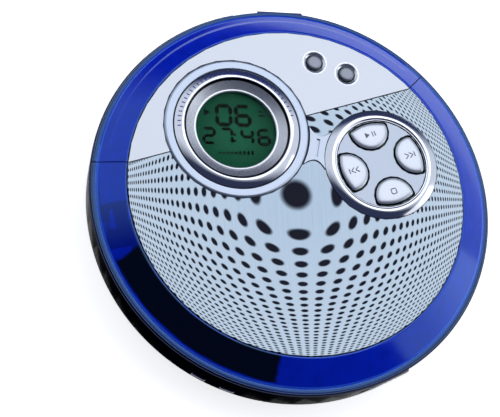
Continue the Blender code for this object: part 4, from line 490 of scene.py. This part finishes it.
for piece_name, gap, count in (("lid_ring_front", -0.0002, 330), ("lid_ring_rear", 0.0002, 220)):
    seam = np.array([seam_angle(r, gap) for r, _ in ring_line])
    if piece_name == "lid_ring_front":
        start, end = math.pi - seam, 2 * math.pi + seam
    else:
        start, end = seam, math.pi - seam
    loops = []
    for share in np.linspace(0, 1, count):
        angle = start + (end - start) * share
        r = ring_line[:, 0]
        z = ring_line[:, 1].copy()
        if piece_name == "lid_ring_rear":
            degrees = np.degrees(angle)
            in_angle = np.clip((ledge_half - np.abs(degrees - 90)) / 1.2, 0, 1)
            edge_r = ledge_r + 0.0008 * (1 - in_angle)
            sunk = np.clip((r - edge_r) / 0.0003, 0, 1) * (in_angle > 0) * (z > lip_z) * in_angle
            z = z - ledge_depth * sunk
        angle = angle + style_turn
        loops.append(np.stack([r * np.cos(angle), r * np.sin(angle), z], axis=-1))
    ring = skin(piece_name + "_shell", loops)
    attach(ring, "lid")
    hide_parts(piece_name)
    ring_look = finish(piece_name + "_blue", (0.0, 0.016, 0.60), 0.13, 0.0, 0.004, 0.25, 0.000002)
    tree = ring_look.node_tree
    shader = tree.nodes["Principled BSDF"]
    shader.inputs["IOR"].default_value = 1.75
    shader.inputs["Specular IOR Level"].default_value = 0.6
    shader.inputs["Specular Tint"].default_value = (0.30, 0.62, 1.0, 1)
    radius, degrees = polar(tree, 0, 0)[:2]
    tone = tree.nodes["tone"].outputs["Result"]
    blocks = tree.nodes.new("ShaderNodeTexVoronoi")
    blocks.distance = "CHEBYCHEV"
    blocks.inputs["Scale"].default_value = 130
    spot = tree.nodes.new("ShaderNodeTexCoord")
    tree.links.new(spot.outputs["Object"], blocks.inputs["Vector"])
    wobble = calc(tree, "MULTIPLY", blocks.outputs["Distance"], 2.0)
    # Painted shade: a near-black zone at the front left stands for the shaded inside seen through the clear
    # plastic.
    painted_inside_shade = calc(
        tree, "MULTIPLY", between(tree, calc(tree, "ADD", degrees, wobble), -158, -98.5, 1.5),
        between(tree, calc(tree, "ADD", radius, calc(tree, "MULTIPLY", wobble, 0.3)), 58.2, 66.1, 0.4)
    )
    # Painted shade: darker blue blotches beside that zone stand for more of the shaded inside seen through
    # the plastic.
    left = between(tree, degrees, -300, -150, 10)
    painted_shade_patches = calc(tree, "MULTIPLY", calc(tree, "GREATER_THAN", blocks.outputs["Distance"], 0.42), left)
    tone = tint(tree, tone, (0.0, 0.004, 0.20), calc(tree, "MULTIPLY", painted_shade_patches, 0.7))
    tone = tint(tree, tone, (0.0, 0.0, 0.004), painted_inside_shade)
    # Painted highlight: a light blue band round the rounded crest stands for the bright reflection running
    # along it.
    crest_painted_highlight = calc(tree, "MULTIPLY", between(tree, radius, 66.25, 67.0, 0.3), 0.8)
    tone = tint(tree, tone, (0.03, 0.14, 1.0), crest_painted_highlight)
    # Painted shade: the outer flange beyond the crest is darkened to a deep blue, as the downward-facing lip
    # falls in shade.
    tone = tint(tree, tone, (0.0, 0.006, 0.16), between(tree, radius, 67.15, 70, 0.2))
    tree.links.new(tone, shader.inputs["Base Color"])
    ring.data.materials.append(ring_look)


# Hinge tongue: a moulded eye of the ring's blue plastic that turns on the steel pin. Along each
# ray from the pin its outline is the farther of the eye's circle and the arm's straight edges.
pin_y = 0.0660
pin_z = 0.0172
eye_r = 0.0017
hole_r = 0.00105
tongue_half = 0.0079
arm_turn = math.radians(132)
tongue_line = []
corners = [(eye_r, 0.0019), (0.0027, 0.0019), (0.0027, 0.0031), (-0.00114, 0.0031), (-0.00114, 0.00126)]
for turn in np.linspace(0, 2 * math.pi, 73)[:-1]:
    ray = Vector((math.cos(turn), math.sin(turn)))
    reach = eye_r if not 0 < turn < arm_turn else 0.0
    for a, b in zip(corners, corners[1:]):
        edge = Vector(b) - Vector(a)
        cross = ray.x * edge.y - ray.y * edge.x
        if abs(cross) > 1e-12:
            along = (a[0] * edge.y - a[1] * edge.x) / cross
            share = (a[0] * ray.y - a[1] * ray.x) / cross
            if along > 0 and -0.001 <= share <= 1.001:
                reach = max(reach, along)
    tongue_line.append((reach if reach > 0 else eye_r) * ray)
hole_line = [Vector((math.cos(t), math.sin(t))) * hole_r for t in np.linspace(0, 2 * math.pi, 73)[:-1]]
loops = []
for x, line in (
    (-tongue_half, tongue_line), (tongue_half, tongue_line),
    (tongue_half, hole_line), (-tongue_half, hole_line)
):
    loops.append([(x, pin_y + p.x, pin_z + p.y) for p in line])
tongue = skin("lid_hinge_tongue", loops, round_trip=True)
tongue.data.materials.append(finish("tongue_blue", (0.001, 0.010, 0.22), 0.16, 0.0, 0.002, 0.2, 0.000003))
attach(tongue, "lid")


# Front plate: brushed blue-silver sheet printed with navy dots that shrink outwards, as a flat
# grid looks when it is wrapped over a ball. The brushing runs front to back.
plate_look = finish(
    "front_plate_print", (0.42, 0.52, 0.63), 0.30, 0.60, 0.00012, 0.20, 0.000002, (1, 160, 1)
)
tree = plate_look.node_tree
shader = tree.nodes["Principled BSDF"]
shader.inputs["Specular IOR Level"].default_value = 0.08
print_r = 57.4
dot_pace = 4.959
edge_crowd = 0.65
dot_half = 0.275
middle_dot_r = 5.1
radius, _, east, north = polar(tree, -0.0009, -0.00175)
swell = calc(tree, "POWER", calc(tree, "DIVIDE", radius, print_r), 5)
pace = calc(
    tree, "MULTIPLY", calc(tree, "MULTIPLY", radius, dot_pace),
    calc(tree, "ADD", 1, calc(tree, "MULTIPLY", swell, edge_crowd))
)
cells = []
for offset in (east, north):
    grid = calc(tree, "MULTIPLY", offset, pace)
    whole = calc(tree, "ROUND", grid)
    cells.append((calc(tree, "SUBTRACT", grid, whole), calc(tree, "ABSOLUTE", whole)))
spread = [calc(tree, "MULTIPLY", part, part) for part, _ in cells]
from_dot = calc(tree, "SQRT", calc(tree, "ADD", *spread))
outer = calc(tree, "MINIMUM", calc(tree, "ADD", cells[0][1], cells[1][1]), 1)
middle = calc(tree, "MULTIPLY", radius, dot_half / middle_dot_r)
measure = calc(
    tree, "ADD", calc(tree, "MULTIPLY", from_dot, outer),
    calc(tree, "MULTIPLY", middle, calc(tree, "SUBTRACT", 1, outer))
)
dots = between(tree, measure, -1, dot_half, 0.13)
bright = tree.nodes.new("ShaderNodeMapRange")
tree.links.new(radius, bright.inputs["Value"])
bright.inputs["From Min"].default_value = 10
bright.inputs["From Max"].default_value = 57
paler = calc(tree, "MULTIPLY", bright.outputs["Result"], 0.35)
tone = tint(tree, tree.nodes["tone"].outputs["Result"], (0.66, 0.73, 0.80), paler)
tone = tint(tree, tone, (0.004, 0.006, 0.022), calc(tree, "MULTIPLY", dots, 0.995))
tree.links.new(tone, shader.inputs["Base Color"])
tree.links.new(calc(tree, "MULTIPLY", calc(tree, "SUBTRACT", 1, dots), 0.55), shader.inputs["Metallic"])
dress(plate_look, "front_plate")


# Rear plate: moulded sheet with pale silver lacquer and a fine metallic flake, pierced for the
# two small keys and let into the ring.
dress(finish("rear_plate_lacquer", (0.70, 0.74, 0.82), 0.36, 0.50, 0.00012, 0.10, 0.000002), "rear_plate")


# Display surround: satin silver bezel, a polished ring with a blue tick scale, a grained grey
# cone with a white lip, a clear window and the green liquid crystal panel below it.
# The rings are plated mouldings that sit one inside the other.
def spin(name, line, centre, steps, round_trip=False):
    """A profile of (radius, height) points turned about an upright axis through the centre."""
    turns = np.linspace(0, 2 * math.pi, steps, endpoint=False)
    loops = []
    for r, z in line:
        circle = [centre[0] + r * np.cos(turns), centre[1] + r * np.sin(turns), np.full(steps, z)]
        loops.append(np.stack(circle, axis=-1))
    return skin(name, loops, round_trip)


def styled(x, y):
    """A place in the console's turned frame, given in the player's frame."""
    return (
        x * math.cos(style_turn) - y * math.sin(style_turn),
        x * math.sin(style_turn) + y * math.cos(style_turn)
    )


screen_at = styled(-0.0124, 0.0262)
bezel_top = 0.02730
bezel_round = 0.0009
foot = 0.0238
line = [(0.0217, foot), (0.0217, bezel_top - 0.00025), (0.0219, bezel_top)]
for turn in np.linspace(0, 1, 9):
    bend = turn * math.pi / 2
    line.append((0.0239 + bezel_round * math.sin(bend), bezel_top - bezel_round * (1 - math.cos(bend))))
line.append((0.0248, foot))
bezel = spin("display_bezel_turned", line, screen_at, 160, True)
bezel.data.materials.append(finish("bezel_satin", (0.50, 0.57, 0.70), 0.30, 0.70, 0.00012, 0.08, 0.000002))
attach(bezel, "lid")
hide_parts("display_bezel")

mirror_top = 0.02800
line = [(0.0181, foot), (0.0181, mirror_top - 0.00012), (0.0183, mirror_top - 0.00002)]
for share in np.linspace(0, 1, 22):
    line.append((0.0185 + 0.0028 * share, mirror_top - 0.0009 * share ** 1.4))
line.append((0.0214, foot))
mirror = spin("display_mirror_turned", line, screen_at, 192, True)
mirror_look = finish("mirror_ring", (0.78, 0.80, 0.88), 0.09, 1.0, 0.0010, 0.04, 0.0)
tree = mirror_look.node_tree
radius, degrees = polar(tree, *screen_at)[:2]
tick = calc(tree, "FRACT", calc(tree, "DIVIDE", calc(tree, "ADD", degrees, 360), 5))
comb = calc(tree, "ABSOLUTE", calc(tree, "SUBTRACT", tick, 0.5))
fan = calc(tree, "ADD", between(tree, degrees, 12, 181, 0.4), between(tree, degrees, -181, -178, 0.4))
ticks = calc(
    tree, "MULTIPLY", between(tree, comb, 0.39, 1, 0.03),
    calc(tree, "MULTIPLY", fan, between(tree, radius, 19.2, 20.35, 0.1))
)
tone = tint(tree, tree.nodes["tone"].outputs["Result"], (0.006, 0.012, 0.42), ticks)
tree.links.new(tone, tree.nodes["Principled BSDF"].inputs["Base Color"])
bare = calc(tree, "SUBTRACT", 1, calc(tree, "MULTIPLY", ticks, 0.9))
tree.links.new(bare, tree.nodes["Principled BSDF"].inputs["Metallic"])
mirror.data.materials.append(mirror_look)
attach(mirror, "lid")
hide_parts("display_mirror_ring")

cone_top = 0.0274
cone_low = 0.02596
line = [
    (0.0138, cone_low - 0.0010), (0.0138, cone_low + 0.00015), (0.0140, cone_low + 0.0003),
    (0.0144, cone_low + 0.0003), (0.0146, cone_low + 0.0001), (0.0155, cone_low + 0.00045),
    (0.0168, cone_low + 0.00105), (0.0174, cone_top - 0.0001), (0.0176, cone_top), (0.0176, cone_low - 0.0010)
]
cone = spin("display_cone_turned", line, screen_at, 160, True)
cone_look = finish("cone_grained", (0.60, 0.62, 0.68), 0.30, 0.85, 0.00022, 0.45, 0.000012)
tree = cone_look.node_tree
radius = polar(tree, *screen_at)[0]
lip = between(tree, radius, 13.0, 14.55, 0.1)
tone = tint(tree, tree.nodes["tone"].outputs["Result"], (0.86, 0.88, 0.93), lip)
# Painted shade: the cone's outer edge is darkened where it meets the polished ring, deepening the gap between
# them.
tone = tint(tree, tone, (0.02, 0.02, 0.03), between(tree, radius, 17.35, 18, 0.1))
tree.links.new(tone, tree.nodes["Principled BSDF"].inputs["Base Color"])
cone.data.materials.append(cone_look)
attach(cone, "lid")
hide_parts("display_inner_ring")

window = spin("display_window_turned", [
    (0.0134, cone_low - 0.0006), (0.0135, cone_low - 0.0005),
    (0.0135, cone_low - 0.0001), (0.0133, cone_low)
], screen_at, 128)
window_look = finish("window_clear", (0.010, 0.020, 0.016), 0.03, 0.0, 0.002, 0.05, 0.0)
window_look.node_tree.nodes["Principled BSDF"].inputs["Alpha"].default_value = 0.05
window.data.materials.append(window_look)
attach(window, "lid")
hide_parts("display_window")

panel_look = finish("panel_green", (0.007, 0.110, 0.052), 0.60, 0.0, 0.00015, 0.12, 0.0)
tree = panel_look.node_tree
tree.nodes["Principled BSDF"].inputs["Specular IOR Level"].default_value = 0.04
radius = polar(tree, *screen_at)[0]
# Painted light and shade: the panel is lighter green in the middle and darker towards its edge, where the
# surround shades it.
painted_centre_light = tree.nodes.new("ShaderNodeMapRange")
tree.links.new(radius, painted_centre_light.inputs["Value"])
painted_centre_light.inputs["From Min"].default_value = 13.8
painted_centre_light.inputs["From Max"].default_value = 4.0
tone = tint(tree, tree.nodes["tone"].outputs["Result"], (0.016, 0.200, 0.095), painted_centre_light.outputs["Result"])
tree.links.new(tone, tree.nodes["Principled BSDF"].inputs["Base Color"])
dress(panel_look, "display_panel")


# Liquid crystal segments: generic numerals, a colon, a bar scale and a few plain signs, upright
# in the player's frame, a hair above the panel. Every lit segment is a flat six-sided bar.
def prisms(name, outlines, low, high):
    """Upright prisms over closed outlines of (x, y) points, all in one mesh."""
    points = []
    faces = []
    for outline in outlines:
        base = len(points)
        n = len(outline)
        points += [(x, y, low) for x, y in outline] + [(x, y, high) for x, y in outline]
        faces += [[base + i, base + (i + 1) % n, base + n + (i + 1) % n, base + n + i] for i in range(n)]
        faces += [[base + i for i in reversed(range(n))], [base + n + i for i in range(n)]]
    mesh = bpy.data.meshes.new(name)
    mesh.from_pydata(points, [], faces)
    shape = bmesh.new()
    shape.from_mesh(mesh)
    bmesh.ops.recalc_face_normals(shape, faces=shape.faces)
    shape.to_mesh(mesh)
    shape.free()
    piece = bpy.data.objects.new(name, mesh)
    bpy.context.scene.collection.objects.link(piece)
    return piece


def bar(x0, y0, x1, y1, half):
    """Six-sided bar between two points with pointed ends."""
    dx, dy = x1 - x0, y1 - y0
    length = math.hypot(dx, dy)
    ux, uy = dx / length * half, dy / length * half
    return [
        (x0, y0), (x0 + ux - uy, y0 + uy + ux), (x1 - ux - uy, y1 - uy + ux), (x1, y1),
        (x1 - ux + uy, y1 - uy - ux), (x0 + ux + uy, y0 + uy - ux)
    ]


lit = {"0": "abcdef", "2": "abged", "4": "fgbc", "6": "afgedc", "7": "abc"}
segments = []
for text, left, bottom, wide, tall, pitch, half in (
    ("06", -0.0060, 0.0022, 0.0046, 0.0068, 0.0066, 0.00072),
    ("27", -0.0109, -0.0046, 0.0036, 0.0052, 0.0060, 0.00058),
    ("46", 0.0022, -0.0046, 0.0036, 0.0052, 0.0057, 0.00058)
):
    for i, digit in enumerate(text):
        x = left + pitch * i
        g = half * 0.12
        ends = {
            "a": (x + g, bottom + tall, x + wide - g, bottom + tall),
            "g": (x + g, bottom + tall / 2, x + wide - g, bottom + tall / 2),
            "d": (x + g, bottom, x + wide - g, bottom),
            "f": (x, bottom + tall / 2 + g, x, bottom + tall - g),
            "e": (x, bottom + g, x, bottom + tall / 2 - g),
            "b": (x + wide, bottom + tall / 2 + g, x + wide, bottom + tall - g),
            "c": (x + wide, bottom + g, x + wide, bottom + tall / 2 - g)
        }
        segments += [bar(*ends[s], half) for s in lit[digit]]
for y in (-0.0040, -0.0018):
    segments.append([(-0.0007, y), (0.0001, y), (0.0001, y + 0.0008), (-0.0007, y + 0.0008)])
for i in range(9):
    x = -0.0062 + 0.0014 * i
    y = -0.0079 + 0.00012 * i
    segments.append([(x, -0.0085), (x + 0.0008, -0.0085), (x + 0.0008, y), (x, y)])
segments.append([(-0.0104, 0.0052), (-0.0080, 0.0064), (-0.0104, 0.0076)])
segments.append([(0.0082, 0.0056), (0.0108, 0.0056), (0.0108, 0.0062), (0.0082, 0.0062)])
segments.append([(0.0082, 0.0070), (0.0100, 0.0070), (0.0100, 0.0076), (0.0082, 0.0076)])
segments = [[(screen_at[0] + x, screen_at[1] + y) for x, y in s] for s in segments]
panel_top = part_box("display_panel")[1].z
digits = prisms("display_segments", segments, panel_top + 0.00002, panel_top + 0.00006)
segment_look = finish("segment_dark", (0.002, 0.010, 0.006), 0.6, 0.0, 0.0005, 0.3, 0.0)
segment_look.node_tree.nodes["Principled BSDF"].inputs["Specular IOR Level"].default_value = 0.03
digits.data.materials.append(segment_look)
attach(digits, "lid")


# Console bridge between the display and the pad: the same satin silver as the bezel, moulded
# with a groove and clipped through the front plate.
dress(finish("bridge_satin", (0.52, 0.58, 0.70), 0.32, 0.65, 0.00012, 0.08, 0.000002), "console_bridge")


# Key pad: polished ring, satin web and four crowned leaf keys with generic transport marks.
# The keys drop into openings in the web and lean on dome switches.
def height(tree):
    """Height of object points in millimetres."""
    place = tree.nodes.new("ShaderNodeTexCoord")
    parts = tree.nodes.new("ShaderNodeSeparateXYZ")
    tree.links.new(place.outputs["Object"], parts.inputs["Vector"])
    return calc(tree, "MULTIPLY", parts.outputs["Z"], 1000)


pad_at = styled(0.0313, 0.0009)
crest = plate_top + 0.0012
pad_foot = 0.0249
line = [(0.0176, pad_foot), (0.0158, 0.0262), (0.0158, crest - 0.0003)]
for turn in np.linspace(0, 1, 6):
    line.append((0.0160 + 0.0007 * turn, crest - 0.0003 + 0.0003 * math.sin(turn * math.pi / 2)))
for share in np.linspace(0.05, 1, 14):
    line.append((0.0169 + 0.0027 * share, crest - 0.0011 * share ** 1.5))
line.append((0.0196, pad_foot))
pad_ring = spin("pad_ring_turned", line, pad_at, 176, True)
pad_ring.data.materials.append(finish("pad_ring_polish", (0.76, 0.79, 0.88), 0.12, 1.0, 0.0010, 0.05, 0.0))
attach(pad_ring, "lid")
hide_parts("pad_ring")
web_look = finish("web_satin", (0.50, 0.56, 0.67), 0.36, 0.60, 0.00012, 0.08, 0.000002)
tree = web_look.node_tree
web_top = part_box("pad_web")[1].z * 1000
# Painted shade: the web's opening walls below its top are darkened to near black, standing for the shade in
# the gaps round the keys.
sunk = between(tree, height(tree), -1, web_top - 0.10, 0.04)
tone = tint(tree, tree.nodes["tone"].outputs["Result"], (0.004, 0.005, 0.012), sunk)
tree.links.new(tone, tree.nodes["Principled BSDF"].inputs["Base Color"])
dress(web_look, "pad_web")

key_gap = 0.00042
leaf_r = 0.0151 - key_gap
leaf_in = 0.0071 - key_gap
leaf_mid = 0.01235
leaf_round = 0.0012
near_r = leaf_r - leaf_round
close_r = leaf_in - leaf_round
along = (near_r ** 2 - close_r ** 2 + leaf_mid ** 2) / (2 * leaf_mid)
across = math.sqrt(near_r ** 2 - along ** 2)
out_turn = math.atan2(across, along)
in_turn = math.atan2(across, along - leaf_mid)
leaf_line = [(leaf_r * math.cos(t), leaf_r * math.sin(t)) for t in np.linspace(-out_turn, out_turn, 20)]
for t in np.linspace(out_turn, in_turn, 8)[1:-1]:
    leaf_line.append((along + leaf_round * math.cos(t), across + leaf_round * math.sin(t)))
for t in np.linspace(in_turn, 2 * math.pi - in_turn, 40):
    leaf_line.append((leaf_mid + leaf_in * math.cos(t), leaf_in * math.sin(t)))
for t in np.linspace(-in_turn, -out_turn, 8)[1:-1]:
    leaf_line.append((along + leaf_round * math.cos(t), -across + leaf_round * math.sin(t)))
leaf_line = np.array(leaf_line)
leaf_centre = leaf_line.mean(axis=0)
cap_low = crest - 0.0014
cap_top = crest + 0.00036
levels = [
    (1.0, cap_low), (1.0, cap_top - 0.00085), (0.985, cap_top - 0.00062), (0.955, cap_top - 0.00044),
    (0.90, cap_top - 0.00030), (0.82, cap_top - 0.00018), (0.70, cap_top - 0.00009), (0.5, cap_top - 0.00002),
    (0.25, cap_top), (0.05, cap_top)
]
key_look = finish("leaf_key_satin", (0.64, 0.68, 0.77), 0.26, 0.60, 0.00014, 0.08, 0.000002)
tree = key_look.node_tree
# Painted shade: each key's flank below its crown is darkened to near black, deepening the shade in the gaps
# round the keys.
flank = between(tree, height(tree), -1, cap_top * 1000 - 0.80, 0.12)
tone = tint(tree, tree.nodes["tone"].outputs["Result"], (0.004, 0.006, 0.020), flank)
tree.links.new(tone, tree.nodes["Principled BSDF"].inputs["Base Color"])
mark_look = finish("key_mark_grey", (0.17, 0.18, 0.23), 0.5, 0.0, 0.0004, 0.15, 0.0)
stroke = 0.00017


def moved(points, x, y):
    """The same outline moved by x and y."""
    return [(px + x, py + y) for px, py in points]


arrow = [(-0.0009, 0.0010), (0.0008, 0), (-0.0009, -0.0010)]
open_arrow = [bar(-0.0007, 0.0010, 0.0007, 0, stroke), bar(-0.0007, -0.0010, 0.0007, 0, stroke)]
post = bar(0, -0.0010, 0, 0.0010, stroke)
back_arrow = [[(-px, py) for px, py in s] for s in open_arrow]
marks = {
    "play": [moved(arrow, -0.0012, 0), moved(post, 0.0006, 0), moved(post, 0.0015, 0)],
    "next": [moved(s, x, 0) for x in (-0.0013, 0.0003) for s in open_arrow] + [moved(post, 0.0016, 0)],
    "previous": [
        moved(s, x, 0) for x in (0.0013, -0.0003) for s in back_arrow
    ] + [moved(post, -0.0016, 0)],
    "stop": [
        bar(-0.0009, -0.0009, 0.0009, -0.0009, stroke), bar(-0.0009, 0.0009, 0.0009, 0.0009, stroke),
        bar(-0.0009, -0.0009, -0.0009, 0.0009, stroke), bar(0.0009, -0.0009, 0.0009, 0.0009, stroke)
    ]
}
for key, turn in (("next", 0), ("play", math.pi / 2), ("previous", math.pi), ("stop", -math.pi / 2)):
    spun = turn + style_turn
    swing = np.array([[math.cos(spun), -math.sin(spun)], [math.sin(spun), math.cos(spun)]])
    loops = []
    for share, z in levels:
        flat = (leaf_centre + (leaf_line - leaf_centre) * share) @ swing.T + np.array(pad_at)
        loops.append(np.column_stack([flat, np.full(len(flat), z)]))
    cap = skin(key + "_leaf", loops)
    cap.data.materials.append(key_look)
    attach(cap, key + "_key")
    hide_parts(key + "_button")
    middle = leaf_centre @ swing.T + np.array(pad_at)
    outlines = []
    for outline in marks[key]:
        outlines.append([(
            middle[0] + x * math.cos(style_turn) - y * math.sin(style_turn),
            middle[1] + x * math.sin(style_turn) + y * math.cos(style_turn)
        ) for x, y in outline])
    mark = prisms(key + "_mark", outlines, cap_top - 0.00006, cap_top + 0.00003)
    mark.data.materials.append(mark_look)
    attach(mark, key + "_key")


# Mode and program keys: domed satin grey caps in polished dished rims, in the rear plate.
# The caps are moulded with their stems and lean on the key board's switches.
small_look = finish("small_key_metal", (0.26, 0.28, 0.34), 0.30, 0.65, 0.00012, 0.15, 0.000002)
rim_look = finish("key_rim_polish", (0.74, 0.76, 0.84), 0.14, 0.9, 0.0008, 0.06, 0.0)
for key, x, y in (("mode", 0.0227, 0.0421), ("program", 0.0322, 0.0352)):
    at = styled(x, y)
    top = plate_top + 0.0003
    line = [
        (0.0025, top - 0.0012), (0.0025, top - 0.00035), (0.0024, top - 0.0002), (0.0021, top - 0.00008),
        (0.0014, top), (0.0003, top)
    ]
    cap = spin(key + "_cap", line, at, 64)
    cap.data.materials.append(small_look)
    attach(cap, key + "_key")
    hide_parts(key + "_button")
    line = [
        (0.0031, plate_top - 0.0008), (0.0031, plate_top - 0.00045), (0.0037, plate_top - 0.0001),
        (0.0042, plate_top + 0.00002), (0.0043, plate_top + 0.00001), (0.0043, plate_top - 0.0001),
        (0.0042, plate_top - 0.0008)
    ]
    rim = spin(key + "_rim", line, at, 64, True)
    rim.data.materials.append(rim_look)
    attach(rim, "lid")
